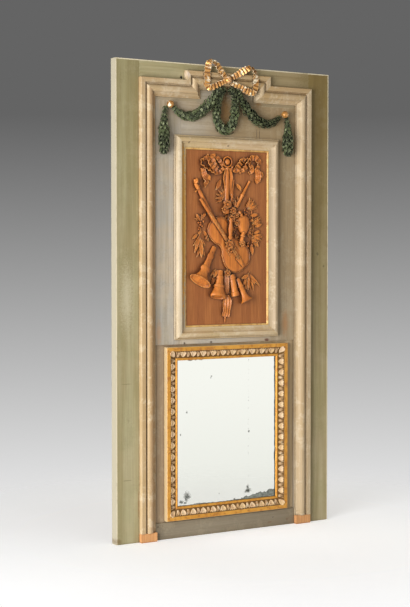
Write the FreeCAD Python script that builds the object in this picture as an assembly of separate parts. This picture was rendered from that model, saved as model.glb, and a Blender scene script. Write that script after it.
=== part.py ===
import FreeCAD, Part
import math
import os

from FreeCAD import Vector

# Trumeau mirror: a painted wood panel with a cream moulding, a carved relief and a small gilt mirror.
# Millimetres. X runs to the viewer's right, the front faces -Y, Z is up.
# The origin is the centre of the foot of the panel, half way through its depth.

# ---- driving dimensions: carcass ----
OVERALL_WIDTH = 1071.0
OVERALL_HEIGHT = 2000.0
FRAME_DEPTH = 40.0
STILE_WIDTH = 111.0
TOP_RAIL_HEIGHT = 160.0
BOTTOM_RAIL_HEIGHT = 70.0
TENON_LENGTH = 60.0
TENON_THICKNESS = 12.0
TENON_SHOULDER = 16.0
MORTISE_END_GAP = 1.0
BOARD_THICKNESS = 22.0
FILLER_INSET = 75.5
FILLER_WIDTH = 16.5
RECESS_SIDE_MARGIN = 3.8
RECESS_TOP_MARGIN = 9.9
RECESS_DEPTH = 6.8
RECESS_LAP = 12.0
BATTEN_HEIGHT = 90.0
BATTEN_THICKNESS = 16.0
LOWER_BATTEN_RISE = 125.0
MIDDLE_BATTEN_RISE = 25.0
UPPER_BATTEN_RISE = 22.5
SCREW_INSET = 29.5
SCREW_INNER_X = 120.0
SCREW_RADIUS = 2.2
SCREW_LENGTH = 28.0
SCREW_HEAD_RADIUS = 5.0
SCREW_HEAD_HEIGHT = 1.8
SCREW_CLEARANCE = 0.1

# ---- driving dimensions: cream moulding ----
MOULDING_INSET = 106.7
MOULDING_TOP_INSET = 71.6
MOULDING_WIDTH = 75.0
OUTER_BAND_WIDTH = 27.0
MOULDING_HEIGHT = 25.4
OUTER_BAND_HEIGHT = 23.0
GROOVE_HEIGHT = 14.0
INNER_FILLET_WIDTH = 5.0
INNER_FILLET_HEIGHT = 5.0
CROSSETTE_HALF_WIDTH = 211.3
CROSSETTE_RISE = 40.0
PLINTH_HEIGHT = 38.0
PLINTH_DEPTH = 20.0

# ---- driving dimensions: relief ----
RELIEF_SIDE_MARGIN = 91.9
RELIEF_TOP_MARGIN = 154.5
RELIEF_HEIGHT = 858.8
RELIEF_MEMBER_WIDTH = 50.4
RELIEF_MEMBER_HEIGHT = 24.0
RELIEF_LAP = 22.0
SLIP_WIDTH = 8.0
SLIP_HEIGHT = 6.0

# ---- driving dimensions: mirror ----
GILT_SIDE_MARGIN = 47.3
GILT_TOP_MARGIN = 30.0
GILT_FOOT_MARGIN = 6.3
GILT_MEMBER_WIDTH = 58.0
GILT_MEMBER_HEIGHT = 25.6
GILT_BAND_WIDTH = 18.0
GILT_FILLET_WIDTH = 11.0
GILT_LIP_HEIGHT = 16.0
SLOPE_TOP = 23.0
SLOPE_BOTTOM = 13.5
GLASS_THICKNESS = 4.0
GLASS_LAP = 8.0
GLASS_FRONT = 12.0
BACKBOARD_THICKNESS = 6.0
GLASS_EDGE_CLEARANCE = 1.0
SPRIG_RADIUS = 0.8
SPRIG_LENGTH = 9.0
SPRIG_INSERT = 5.0
SPRIG_PITCH = 150.0
LEAF_PITCH = 48.5
LEAF_LENGTH = 24.0
LEAF_THICKNESS = 3.6
DART_WIDTH = 5.0

# ---- driving dimensions: top ornament ----
GARLAND_STANDOFF = 0.3
SWAG_RADIUS = 22.0
SWAG_END_RADIUS = 9.0
LOOP_RADIUS = 21.0
DROP_RADIUS = 24.0
DROP_END_RADIUS = 8.0
WHORL_TAPER = 0.62
WHORL_OVERLAP = 1.45
PIN_RADIUS = 15.5
PIN_SHANK_RADIUS = 4.0
PIN_LEFT_INSET = 60.8
PIN_RIGHT_INSET = 70.8
PIN_LEFT_DROP = 31.4
PIN_RIGHT_DROP = 45.4
DROP_SIDE_STEP = 24.0
LEFT_DROP_LENGTH = 198.0
RIGHT_DROP_LENGTH = 171.0
SWAG_LOW_IN = 78.0
SWAG_LOW_DOWN = 66.0
LOOP_HALF_WIDTH = 49.0
LOOP_LENGTH = 211.4
BESIDE = 0.3
RIBBON_WIDTH = 30.0
RIBBON_THICKNESS = 9.0
BOW_REACH = 136.0
KNOT_RADIUS = 19.0
KNOT_X = -14.0
KNOT_ABOVE_MOULDING_TOP = 10.0

# ---- driving dimensions: hanging plates ----
PLATE_INSET = 54.5
PLATE_FROM_TOP = 70.0
PLATE_LENGTH = 90.0
PLATE_WIDTH = 32.0
PLATE_THICKNESS = 3.0
PLATE_HOLE_RADIUS = 5.0
PLATE_POCKET_RADIUS = 10.0
PLATE_POCKET_DEPTH = 14.0
PLATE_SCREW_OFFSET = 33.0

# ---- driving dimensions: carved trophy, drawn for a panel of this size ----
TROPHY_DRAWN_HALF_WIDTH = 203.5
TROPHY_DRAWN_HEIGHT = 742.0
TROPHY_DRAWN_CENTRE = 1269.5

# ---- worked out from the driving dimensions ----
HALF_WIDTH = OVERALL_WIDTH / 2
FRONT = -FRAME_DEPTH / 2
BACK = FRAME_DEPTH / 2
STILE_INNER = HALF_WIDTH - STILE_WIDTH
TOP_RAIL_BOTTOM = OVERALL_HEIGHT - TOP_RAIL_HEIGHT
BOARD_BACK = FRONT + BOARD_THICKNESS
RECESS_FACE = FRONT + RECESS_DEPTH
MOULDING_OUTER_X = HALF_WIDTH - MOULDING_INSET
MOULDING_TOP = OVERALL_HEIGHT - MOULDING_TOP_INSET
CROSSETTE_TOP = MOULDING_TOP + CROSSETTE_RISE
MOULDING_CREST = FRONT - MOULDING_HEIGHT
FIELD_HALF_WIDTH = MOULDING_OUTER_X - MOULDING_WIDTH
FIELD_TOP = MOULDING_TOP - MOULDING_WIDTH
RELIEF_HALF_WIDTH = FIELD_HALF_WIDTH - RELIEF_SIDE_MARGIN
RELIEF_TOP = FIELD_TOP - RELIEF_TOP_MARGIN
RELIEF_BOTTOM = RELIEF_TOP - RELIEF_HEIGHT
SIGHT_HALF_WIDTH = RELIEF_HALF_WIDTH - RELIEF_MEMBER_WIDTH - SLIP_WIDTH
RELIEF_PANEL_HALF_WIDTH = SIGHT_HALF_WIDTH + RELIEF_LAP
RELIEF_PANEL_BOTTOM = RELIEF_BOTTOM + RELIEF_MEMBER_WIDTH + SLIP_WIDTH - RELIEF_LAP
RELIEF_PANEL_TOP = RELIEF_TOP - RELIEF_MEMBER_WIDTH - SLIP_WIDTH + RELIEF_LAP
FILLER_LEFT_X = RELIEF_PANEL_HALF_WIDTH - FILLER_INSET
GILT_HALF_WIDTH = FIELD_HALF_WIDTH - GILT_SIDE_MARGIN
GILT_TOP = RELIEF_BOTTOM - GILT_TOP_MARGIN
GILT_BOTTOM = BOTTOM_RAIL_HEIGHT + GILT_FOOT_MARGIN
RECESS_HALF_WIDTH = FIELD_HALF_WIDTH - RECESS_SIDE_MARGIN
RECESS_TOP = GILT_TOP + RECESS_TOP_MARGIN
BATTEN_CENTRES = (BOTTOM_RAIL_HEIGHT + LOWER_BATTEN_RISE, RECESS_TOP + MIDDLE_BATTEN_RISE,
                  RELIEF_PANEL_TOP + UPPER_BATTEN_RISE)
SCREW_COLUMNS = (SCREW_INNER_X, STILE_INNER - SCREW_INSET)
KNOT_Z = MOULDING_TOP + KNOT_ABOVE_MOULDING_TOP
PLATE_X = STILE_INNER - PLATE_INSET
PLATE_Z = OVERALL_HEIGHT - PLATE_FROM_TOP
LEFT_PIN = (PIN_LEFT_INSET - FIELD_HALF_WIDTH, FIELD_TOP - PIN_LEFT_DROP)
RIGHT_PIN = (FIELD_HALF_WIDTH - PIN_RIGHT_INSET, FIELD_TOP - PIN_RIGHT_DROP)
SIGHT_HEIGHT = RELIEF_HEIGHT - 2 * (RELIEF_MEMBER_WIDTH + SLIP_WIDTH)
RELIEF_CENTRE = (RELIEF_TOP + RELIEF_BOTTOM) / 2
TROPHY_SCALE_ACROSS = SIGHT_HALF_WIDTH / TROPHY_DRAWN_HALF_WIDTH
TROPHY_SCALE_UP = SIGHT_HEIGHT / TROPHY_DRAWN_HEIGHT
TROPHY_SCALE = math.sqrt(TROPHY_SCALE_ACROSS * TROPHY_SCALE_UP)


# ---- helpers ----

def box(x0, x1, y0, y1, z0, z1):
    """A block between two corners."""
    return Part.makeBox(x1 - x0, y1 - y0, z1 - z0, Vector(x0, y0, z0))


def rod(x, y0, y1, z, radius):
    """A cylinder along Y from y0 to y1."""
    return Part.makeCylinder(radius, y1 - y0, Vector(x, y0, z), Vector(0, 1, 0))


def mirrored(shape):
    """The same shape on the other side of the centre plane."""
    return shape.mirror(Vector(0, 0, 0), Vector(1, 0, 0))


def group(shapes):
    """Several separate solids kept together as one sub-part."""
    return Part.makeCompound(shapes)


def save(name, shape):
    """Write one sub-part, as single solids without leftover wrappers."""
    solids = shape.Solids
    for solid in solids:
        if not solid.isValid() or solid.Volume <= 0:
            print("check", name)
    result = solids[0] if len(solids) == 1 else Part.makeCompound(solids)
    result.exportStep("parts/" + name + ".step")
    print(name, len(solids), round(result.Volume))


def front_prism(points, y0, y1):
    """A prism whose outline is drawn on the front (X, Z) and which runs from y0 to y1."""
    corners = [Vector(x, y0, z) for x, z in points]
    outline = Part.makePolygon(corners + corners[:1])
    return Part.Face(outline).extrude(Vector(0, y1 - y0, 0))


def profile_face(items):
    """A face in the plane of width (X) and height (-Y) from points and arcs.

    Each item is a point (s, h), or a pair of points (middle, end) of an arc that starts at the
    point before it.
    """
    def place(point):
        return Vector(point[0], -point[1], 0)

    edges = []
    last = items[0]
    for item in items[1:] + items[:1]:
        if isinstance(item[0], tuple):
            middle, end = item
            edges.append(Part.Arc(place(last), place(middle), place(end)).toShape())
            last = end
        else:
            edges.append(Part.makeLine(place(last), place(item)))
            last = item
    return Part.Face(Part.Wire(edges))


def mitred_length(face, start, end, inward, outline, seat):
    """One length of moulding from start to end (X, Z), cut to the mitres of its outline.

    face is drawn with its outer edge at zero width; inward is the direction of growing width;
    seat is the Y of the surface that the length lies on.
    """
    along = Vector(end[0] - start[0], 0, end[1] - start[1])
    length = along.Length
    along.normalize()
    side = Vector(inward[0], 0, inward[1])
    reach = 2 * face.BoundBox.XLength
    origin = Vector(start[0], seat, start[1]) - along * reach
    bar = face.extrude(Vector(0, 0, length + 2 * reach))
    placement = FreeCAD.Matrix(
        side.x, 0, along.x, origin.x,
        0, 1, 0, origin.y,
        side.z, 0, along.z, origin.z,
        0, 0, 0, 1)
    bar = bar.transformGeometry(placement) if placement.determinant() < 0 else bar.transformShape(placement)
    tall = 2 * face.BoundBox.YLength
    return bar.common(front_prism(outline, seat - tall, seat + 1))


def mitred_ring(face, half_width, bottom, top, width, seat):
    """Left, right, bottom and top lengths of a rectangular frame, by name."""
    outer = {"left": -half_width, "right": half_width}
    inner = half_width - width
    lengths = {}
    for name, sign in (("left", -1), ("right", 1)):
        x = outer[name]
        outline = [(x, bottom), (x, top), (sign * inner, top - width), (sign * inner, bottom + width)]
        lengths[name] = mitred_length(face, (x, bottom), (x, top), (-sign, 0), outline, seat)
    for name, z, sign in (("bottom", bottom, 1), ("top", top, -1)):
        outline = [(-half_width, z), (half_width, z), (inner, z + sign * width), (-inner, z + sign * width)]
        lengths[name] = mitred_length(face, (-half_width, z), (half_width, z), (0, sign), outline, seat)
    return lengths


# ---- carcass ----

def tenon(sign, z0, z1):
    """A rail's tenon, on the side given by sign."""
    x0 = STILE_INNER
    x1 = STILE_INNER + TENON_LENGTH
    tongue = box(x0, x1, -TENON_THICKNESS / 2, TENON_THICKNESS / 2, z0 + TENON_SHOULDER, z1 - TENON_SHOULDER)
    return tongue if sign > 0 else mirrored(tongue)


def mortise(z0, z1):
    """The pocket in the right stile for the tenon between z0 and z1."""
    return box(STILE_INNER - 1, STILE_INNER + TENON_LENGTH + MORTISE_END_GAP,
               -TENON_THICKNESS / 2, TENON_THICKNESS / 2, z0 + TENON_SHOULDER, z1 - TENON_SHOULDER)


def make_stile():
    """The right stile: a full-height board with two blind mortises."""
    stile = box(STILE_INNER, HALF_WIDTH, FRONT, BACK, 0, OVERALL_HEIGHT)
    stile = stile.cut(mortise(TOP_RAIL_BOTTOM, OVERALL_HEIGHT))
    return stile.cut(mortise(0, BOTTOM_RAIL_HEIGHT))


def make_rail(z0, z1):
    """A rail between the stiles with a tenon at each end."""
    rail = box(-STILE_INNER, STILE_INNER, FRONT, BACK, z0, z1)
    return rail.fuse([tenon(1, z0, z1), tenon(-1, z0, z1)]).removeSplitter()


def recess_seat():
    """The space that the mirror recess panel takes, open towards the back."""
    half = RECESS_HALF_WIDTH + RECESS_LAP
    return box(-half, half, RECESS_FACE, BACK + 1, BOTTOM_RAIL_HEIGHT - RECESS_LAP, RECESS_TOP + RECESS_LAP)


def make_recess_panel():
    """The flat behind the mirror, lapped behind the edges of the boards round it."""
    half = RECESS_HALF_WIDTH + RECESS_LAP
    return box(-half, half, RECESS_FACE, BOARD_BACK, BOTTOM_RAIL_HEIGHT - RECESS_LAP, RECESS_TOP + RECESS_LAP)


def make_side_field_board():
    """The right field board: wide beside the relief, sawn narrow beside the mirror."""
    outline = [(STILE_INNER, BOTTOM_RAIL_HEIGHT), (STILE_INNER, TOP_RAIL_BOTTOM),
               (RELIEF_PANEL_HALF_WIDTH, TOP_RAIL_BOTTOM), (RELIEF_PANEL_HALF_WIDTH, RECESS_TOP),
               (RECESS_HALF_WIDTH, RECESS_TOP), (RECESS_HALF_WIDTH, BOTTOM_RAIL_HEIGHT)]
    return front_prism(outline, FRONT, BOARD_BACK).cut(recess_seat())


def make_upper_field_boards():
    """The boards above the relief: a wide one, a thin filler strip and a narrow one."""
    edges = (-RELIEF_PANEL_HALF_WIDTH, FILLER_LEFT_X, FILLER_LEFT_X + FILLER_WIDTH, RELIEF_PANEL_HALF_WIDTH)
    return [box(left, right, FRONT, BOARD_BACK, RELIEF_PANEL_TOP, TOP_RAIL_BOTTOM)
            for left, right in zip(edges, edges[1:])]


def make_mid_rail():
    """The board between the relief and the mirror."""
    board = box(-RELIEF_PANEL_HALF_WIDTH, RELIEF_PANEL_HALF_WIDTH, FRONT, BOARD_BACK, RECESS_TOP,
                RELIEF_PANEL_BOTTOM)
    return board.cut(recess_seat())


def screw_places():
    """X and Z of every batten screw."""
    columns = [sign * x for x in SCREW_COLUMNS for sign in (-1, 1)]
    return [(x, z) for x in columns for z in BATTEN_CENTRES]


def plate_screw_places():
    """X and Z of the screws of the hanging plates."""
    return [(sign * PLATE_X + offset, PLATE_Z)
            for sign in (-1, 1) for offset in (-PLATE_SCREW_OFFSET, PLATE_SCREW_OFFSET)]


def make_screw(x, back, z):
    """A pan-head screw driven in from the back, with its head on the surface at back."""
    head = rod(x, back, back + SCREW_HEAD_HEIGHT, z, SCREW_HEAD_RADIUS)
    return head.fuse(rod(x, back - SCREW_LENGTH, back, z, SCREW_RADIUS)).removeSplitter()


def drill_for_screws(shape, places, back):
    """Cut the pilot holes of the screws out of a board."""
    bounds = shape.BoundBox
    hole_radius = SCREW_RADIUS + SCREW_CLEARANCE
    for x, z in places:
        if bounds.XMin < x < bounds.XMax and bounds.ZMin < z < bounds.ZMax:
            shape = shape.cut(rod(x, back - SCREW_LENGTH - SCREW_CLEARANCE, back + 1, z, hole_radius))
    return shape


def drill_board(shape):
    """Pilot holes of the batten screws in a board of the front."""
    return drill_for_screws(shape, screw_places(), BOARD_BACK + BATTEN_THICKNESS)


def make_battens():
    """The three cross battens behind the boards."""
    battens = []
    for centre in BATTEN_CENTRES:
        batten = box(-STILE_INNER, STILE_INNER, BOARD_BACK, BOARD_BACK + BATTEN_THICKNESS,
                     centre - BATTEN_HEIGHT / 2, centre + BATTEN_HEIGHT / 2)
        battens.append(drill_board(batten))
    return group(battens)


# ---- hanging plates ----

def plate_back():
    """Y of the outer face of a hanging plate: let in so that its screw heads stay behind the wall line."""
    return BACK - SCREW_HEAD_HEIGHT


def make_hanging_plate(x):
    """An iron plate with a hole for a wall screw and one for each of its own screws."""
    half = PLATE_LENGTH / 2
    plate = box(x - half, x + half, plate_back() - PLATE_THICKNESS, plate_back(),
                PLATE_Z - PLATE_WIDTH / 2, PLATE_Z + PLATE_WIDTH / 2)
    plate = plate.cut(rod(x, FRONT, BACK, PLATE_Z, PLATE_HOLE_RADIUS))
    return drill_for_screws(plate, plate_screw_places(), plate_back())


def cut_for_plates(rail):
    """Let the plates into the back of the rail, with a pocket for the wall screw's head."""
    for sign in (-1, 1):
        x = sign * PLATE_X
        half = PLATE_LENGTH / 2
        floor = plate_back() - PLATE_THICKNESS
        rail = rail.cut(box(x - half, x + half, floor, BACK + 1,
                            PLATE_Z - PLATE_WIDTH / 2, PLATE_Z + PLATE_WIDTH / 2))
        rail = rail.cut(rod(x, floor - PLATE_POCKET_DEPTH, BACK, PLATE_Z, PLATE_POCKET_RADIUS))
    return drill_for_screws(rail, plate_screw_places(), plate_back())


def make_screws():
    """All the screws of the back: those of the battens and those of the plates."""
    batten_back = BOARD_BACK + BATTEN_THICKNESS
    screws = [make_screw(x, batten_back, z) for x, z in screw_places()]
    screws += [make_screw(x, plate_back(), z) for x, z in plate_screw_places()]
    return group(screws)


# ---- cream moulding ----

def outer_band_face():
    """Section of the flat outer band, with a hollow down to the groove."""
    edge = 3.0
    land = OUTER_BAND_WIDTH - 7.0
    return profile_face([
        (0, 0), (0, OUTER_BAND_HEIGHT - edge),
        ((edge * 0.3, OUTER_BAND_HEIGHT - edge * 0.3), (edge, OUTER_BAND_HEIGHT)),
        (land, OUTER_BAND_HEIGHT),
        ((land + 2.0, GROOVE_HEIGHT + 3.0), (OUTER_BAND_WIDTH, GROOVE_HEIGHT)),
        (OUTER_BAND_WIDTH, 0)])


def inner_ogee_face():
    """Section of the inner moulding: a broad round that falls in a hollow to a thin fillet."""
    width = MOULDING_WIDTH
    crest = OUTER_BAND_WIDTH + 14.0
    shoulder = crest + 14.0
    fall = width - INNER_FILLET_WIDTH
    middle = (shoulder + fall) / 2
    return profile_face([
        (OUTER_BAND_WIDTH, 0), (OUTER_BAND_WIDTH, GROOVE_HEIGHT),
        ((crest - 9.0, MOULDING_HEIGHT - 3.4), (crest, MOULDING_HEIGHT)),
        ((crest + 8.0, MOULDING_HEIGHT - 0.8), (shoulder, MOULDING_HEIGHT - 4.0)),
        ((middle, INNER_FILLET_HEIGHT + 6.0), (fall, INNER_FILLET_HEIGHT + 1.5)),
        (fall, INNER_FILLET_HEIGHT), (width, INNER_FILLET_HEIGHT), (width, 0)])


def moulding_runs():
    """The seven lengths of the moulding: name, start, end, inward direction and full-width outline."""
    side = MOULDING_OUTER_X
    step = CROSSETTE_HALF_WIDTH
    top = MOULDING_TOP
    crown = CROSSETTE_TOP
    wide = MOULDING_WIDTH
    upright = [(side, PLINTH_HEIGHT), (side, top), (side - wide, top - wide), (side - wide, PLINTH_HEIGHT)]
    shoulder = [(side, top), (step, top), (step - wide, top - wide), (side - wide, top - wide)]
    riser = [(step, top), (step, crown), (step - wide, crown - wide), (step - wide, top - wide)]
    lintel = [(step, crown), (-step, crown), (wide - step, crown - wide), (step - wide, crown - wide)]
    runs = [("top_centre", lintel, (0, -1))]
    for name, outline, inward in (("side", upright, (-1, 0)), ("top", shoulder, (0, -1)),
                                  ("step", riser, (-1, 0))):
        runs.append((name + "_right", outline, inward))
        flipped = [(-x, z) for x, z in outline]
        runs.append((name + "_left", flipped, (-inward[0], inward[1])))
    return runs


def make_moulding(prefix, face):
    """All seven lengths of one section, by name."""
    lengths = {}
    for name, outline, inward in moulding_runs():
        lengths[prefix + name] = mitred_length(face, outline[0], outline[1], inward, outline, FRONT)
    return lengths


def make_plinth_block():
    """The bare wood block at the foot of the right-hand moulding."""
    return box(MOULDING_OUTER_X - MOULDING_WIDTH, MOULDING_OUTER_X, FRONT - PLINTH_DEPTH, FRONT, 0,
               PLINTH_HEIGHT)


# ---- relief frame ----

def relief_member_face():
    """Section of the relief frame: a fillet, a broad round and a hollow down to the slip."""
    width = RELIEF_MEMBER_WIDTH
    height = RELIEF_MEMBER_HEIGHT
    fillet = 5.0
    lip = SLIP_HEIGHT + 2.0
    crest = 20.0
    return profile_face([
        (0, 0), (0, lip), (fillet, lip),
        ((fillet + 4.0, height - 4.5), (crest, height)),
        (crest + 6.0, height),
        ((crest + 14.0, lip + 5.5), (width, lip)),
        (width, 0)])


def slip_face():
    """Section of the gilt slip: a quarter round, lowest beside the picture."""
    return profile_face([(0, 0), (0, SLIP_HEIGHT), (2.0, SLIP_HEIGHT),
                         ((6.0, SLIP_HEIGHT - 1.6), (SLIP_WIDTH, 1.5)), (SLIP_WIDTH, 0)])


def make_relief_panel():
    """The ground of the relief, let in flush with the field."""
    return box(-RELIEF_PANEL_HALF_WIDTH, RELIEF_PANEL_HALF_WIDTH, FRONT, BOARD_BACK, RELIEF_PANEL_BOTTOM,
               RELIEF_PANEL_TOP)


# ---- mirror ----

def gilt_member_face():
    """Section of the gilt frame: flat band, carved slope, sight fillet and a rebate behind."""
    width = GILT_MEMBER_WIDTH
    slope_end = width - GILT_FILLET_WIDTH
    rebate = width - GLASS_LAP
    return profile_face([
        (0, 0), (0, GILT_MEMBER_HEIGHT - 2.0), (2.0, GILT_MEMBER_HEIGHT),
        (GILT_BAND_WIDTH, GILT_MEMBER_HEIGHT), (GILT_BAND_WIDTH, SLOPE_TOP),
        (slope_end, SLOPE_BOTTOM), (slope_end, GILT_LIP_HEIGHT),
        ((slope_end + 5.5, GILT_LIP_HEIGHT + 2.5), (width, GILT_LIP_HEIGHT - 2.0)),
        (width, GLASS_FRONT), (rebate, GLASS_FRONT), (rebate, 0)])


def glass_half_width():
    """Half the width of the glass: it stops short of the rebate's wall."""
    return GILT_HALF_WIDTH - GILT_MEMBER_WIDTH + GLASS_LAP - GLASS_EDGE_CLEARANCE


def rebate_box(front, thickness):
    """A sheet that lies in the rebate, front being its distance from the recess panel."""
    half = glass_half_width()
    margin = GILT_MEMBER_WIDTH - GLASS_LAP + GLASS_EDGE_CLEARANCE
    y0 = RECESS_FACE - front
    return box(-half, half, y0, y0 + thickness, GILT_BOTTOM + margin, GILT_TOP - margin)


def make_glass():
    """The mirror plate."""
    return rebate_box(GLASS_FRONT, GLASS_THICKNESS)


def make_backboard():
    """The thin board behind the plate."""
    return rebate_box(GLASS_FRONT - GLASS_THICKNESS, BACKBOARD_THICKNESS)


def sprig_places():
    """Where the sprigs stand in the rebate wall: X, Z and the direction into the frame."""
    wall_x = GILT_HALF_WIDTH - GILT_MEMBER_WIDTH + GLASS_LAP
    wall_low = GILT_BOTTOM + GILT_MEMBER_WIDTH - GLASS_LAP
    wall_high = GILT_TOP - GILT_MEMBER_WIDTH + GLASS_LAP
    centre_z = (wall_low + wall_high) / 2
    places = []
    for step in (-1, 0, 1):
        places.append((step * SPRIG_PITCH, wall_low, 0, -1))
        places.append((step * SPRIG_PITCH, wall_high, 0, 1))
        places.append((-wall_x, centre_z + step * SPRIG_PITCH, -1, 0))
        places.append((wall_x, centre_z + step * SPRIG_PITCH, 1, 0))
    return places


def sprig_rod(place, radius, extra=0.0):
    """One sprig as a rod, or its hole with extra length."""
    x, z, dx, dz = place
    y = RECESS_FACE - (GLASS_FRONT - GLASS_THICKNESS - BACKBOARD_THICKNESS) / 2
    inner = SPRIG_LENGTH - SPRIG_INSERT
    start = Vector(x - dx * inner, y, z - dz * inner)
    return Part.makeCylinder(radius, SPRIG_LENGTH + extra, start, Vector(dx, 0, dz))


def make_sprigs():
    """The small nails behind the backing board, pushed into the rebate's wall."""
    thin = (GLASS_FRONT - GLASS_THICKNESS - BACKBOARD_THICKNESS) / 2 - 0.05
    return group([sprig_rod(place, min(SPRIG_RADIUS, thin)) for place in sprig_places()])


def drill_for_sprigs(member):
    """Sprig holes in a gilt frame member."""
    for place in sprig_places():
        member = member.cut(sprig_rod(place, SPRIG_RADIUS, SCREW_CLEARANCE))
    return member


def leaf_outline(length, width):
    """A heart-shaped leaf: round shoulders at the outer end, its point at the inner end."""
    half = width / 2
    shoulder = length * 0.28
    right = Part.Arc(Vector(0, -1.2, 0), Vector(half * 0.6, 0, 0), Vector(half, -shoulder, 0)).toShape()
    right_low = Part.Arc(Vector(half, -shoulder, 0), Vector(half * 0.62, -length * 0.72, 0),
                         Vector(0, -length, 0)).toShape()
    left_low = Part.Arc(Vector(0, -length, 0), Vector(-half * 0.62, -length * 0.72, 0),
                        Vector(-half, -shoulder, 0)).toShape()
    left = Part.Arc(Vector(-half, -shoulder, 0), Vector(-half * 0.6, 0, 0), Vector(0, -1.2, 0)).toShape()
    return Part.Face(Part.Wire([right, right_low, left_low, left]))


def dart_outline(length):
    """A dart between two leaves: a thin lozenge."""
    half = DART_WIDTH / 2
    points = [Vector(0, 0, 0), Vector(half, -length * 0.7, 0), Vector(0, -length, 0),
              Vector(-half, -length * 0.7, 0)]
    return Part.Face(Part.makePolygon(points + points[:1]))


def lay_on_slope(face, x, z, inward):
    """Carve a flat outline up from the slope, its head towards the outer band."""
    run = GILT_MEMBER_WIDTH - GILT_FILLET_WIDTH - GILT_BAND_WIDTH
    drop = SLOPE_TOP - SLOPE_BOTTOM
    slope = math.hypot(run, drop)
    down = Vector(inward[0] * run / slope, drop / slope, inward[1] * run / slope)
    across = Vector(-inward[1], 0, inward[0])
    normal = across.cross(down)
    if normal.y > 0:
        across = across * -1
        normal = normal * -1
    head = (slope - LEAF_LENGTH) / 2
    origin = Vector(x, RECESS_FACE - SLOPE_TOP, z) + down * head
    placement = FreeCAD.Matrix(
        across.x, -down.x, normal.x, origin.x,
        across.y, -down.y, normal.y, origin.y,
        across.z, -down.z, normal.z, origin.z,
        0, 0, 0, 1)
    solid = face.extrude(Vector(0, 0, LEAF_THICKNESS))
    if placement.determinant() < 0:
        return solid.transformGeometry(placement)
    return solid.transformShape(placement)


def make_leaf_and_dart():
    """Every leaf and dart on the four slopes, evenly spaced between the mitres."""
    pieces = []
    edge_x = GILT_HALF_WIDTH - GILT_BAND_WIDTH
    edge_low = GILT_BOTTOM + GILT_BAND_WIDTH
    edge_high = GILT_TOP - GILT_BAND_WIDTH
    margin = GILT_MEMBER_WIDTH - GILT_BAND_WIDTH
    span_x = 2 * (edge_x - margin)
    span_z = edge_high - edge_low - 2 * margin
    centre_z = (edge_low + edge_high) / 2
    for span, horizontal in ((span_x, True), (span_z, False)):
        count = round(span / LEAF_PITCH)
        pitch = span / count
        leaf = leaf_outline(LEAF_LENGTH, pitch - DART_WIDTH - 3.0)
        dart = dart_outline(LEAF_LENGTH)
        for index in range(2 * count + 1):
            shift = -span / 2 + index * pitch / 2
            face = leaf if index % 2 else dart
            if horizontal:
                pieces.append(lay_on_slope(face, shift, edge_high, (0, -1)))
                pieces.append(lay_on_slope(face, shift, edge_low, (0, 1)))
            else:
                pieces.append(lay_on_slope(face, -edge_x, centre_z + shift, (1, 0)))
                pieces.append(lay_on_slope(face, edge_x, centre_z + shift, (-1, 0)))
    return group(pieces)


# ---- top ornament: garlands, pins and bow ----

def bezier(points, t):
    """A point on the curve that a row of control points pulls."""
    while len(points) > 1:
        points = [[a + (b - a) * t for a, b in zip(p, q)] for p, q in zip(points, points[1:])]
    return Vector(*points[0])


def along_curve(points, count):
    """Evenly stepped places on a curve."""
    return [bezier([list(point) for point in points], index / count) for index in range(count + 1)]


def whorl_rope(places, radii):
    """A rope of overlapping cups, each flaring away from the start like a whorl of laurel leaves."""
    cups = []
    for index in range(len(places) - 1):
        step = places[index + 1] - places[index]
        start = places[index]
        cups.append(Part.makeCone(radii[index] * WHORL_TAPER, radii[index + 1],
                                  step.Length * WHORL_OVERLAP, start, step))
    return cups[0].fuse(cups[1:])


def belly(count, end_radius, middle_radius):
    """Radii that swell from both ends to the middle."""
    return [end_radius + (middle_radius - end_radius) * math.sin(math.pi * index / count) ** 0.7
            for index in range(count + 1)]


def over_moulding():
    """The space that a garland may not fill: everything below the crest, inside the moulding's outline."""
    outlines = [outline for _, outline, _ in moulding_runs()]
    return [front_prism(outline, MOULDING_CREST - GARLAND_STANDOFF, FRONT) for outline in outlines]


def carved_flat(rope):
    """Cut the back of a garland flat where it lies on the field and where it crosses the moulding."""
    bounds = rope.BoundBox
    behind = box(bounds.XMin - 1, bounds.XMax + 1, FRONT - GARLAND_STANDOFF, BACK + 60, bounds.ZMin - 1,
                 bounds.ZMax + 1)
    rope = rope.cut(behind)
    for solid in over_moulding():
        if solid.BoundBox.intersect(rope.BoundBox):
            rope = rope.cut(solid)
    return max(rope.Solids, key=lambda solid: solid.Volume)


def swag(pin, end_x):
    """A garland from a ball pin, through its low point, up beside the centre loop at end_x."""
    y_field = FRONT - SWAG_RADIUS * 0.55
    y_over = MOULDING_CREST - SWAG_END_RADIUS
    inward = -math.copysign(1, pin[0])
    start = (pin[0] + inward * (PIN_RADIUS + 3.5), pin[1] - PIN_RADIUS)
    low = (pin[0] + inward * SWAG_LOW_IN, pin[1] - SWAG_LOW_DOWN)
    high = (KNOT_X - inward * LOOP_HALF_WIDTH * 0.9, KNOT_Z - KNOT_RADIUS * 1.9)
    points = [(start[0], y_field, start[1]), (low[0], y_field, low[1]),
              (low[0] + (high[0] - low[0]) * 0.45, y_field, low[1]),
              (high[0], y_over, high[1])]
    count = 15
    rope = whorl_rope(along_curve(points, count), belly(count, SWAG_END_RADIUS, SWAG_RADIUS))
    beyond = sorted((end_x, KNOT_X + inward * FIELD_HALF_WIDTH))
    rope = rope.cut(box(beyond[0], beyond[1], 4 * FRONT, BACK, RELIEF_TOP, OVERALL_HEIGHT))
    return carved_flat(rope)


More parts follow.
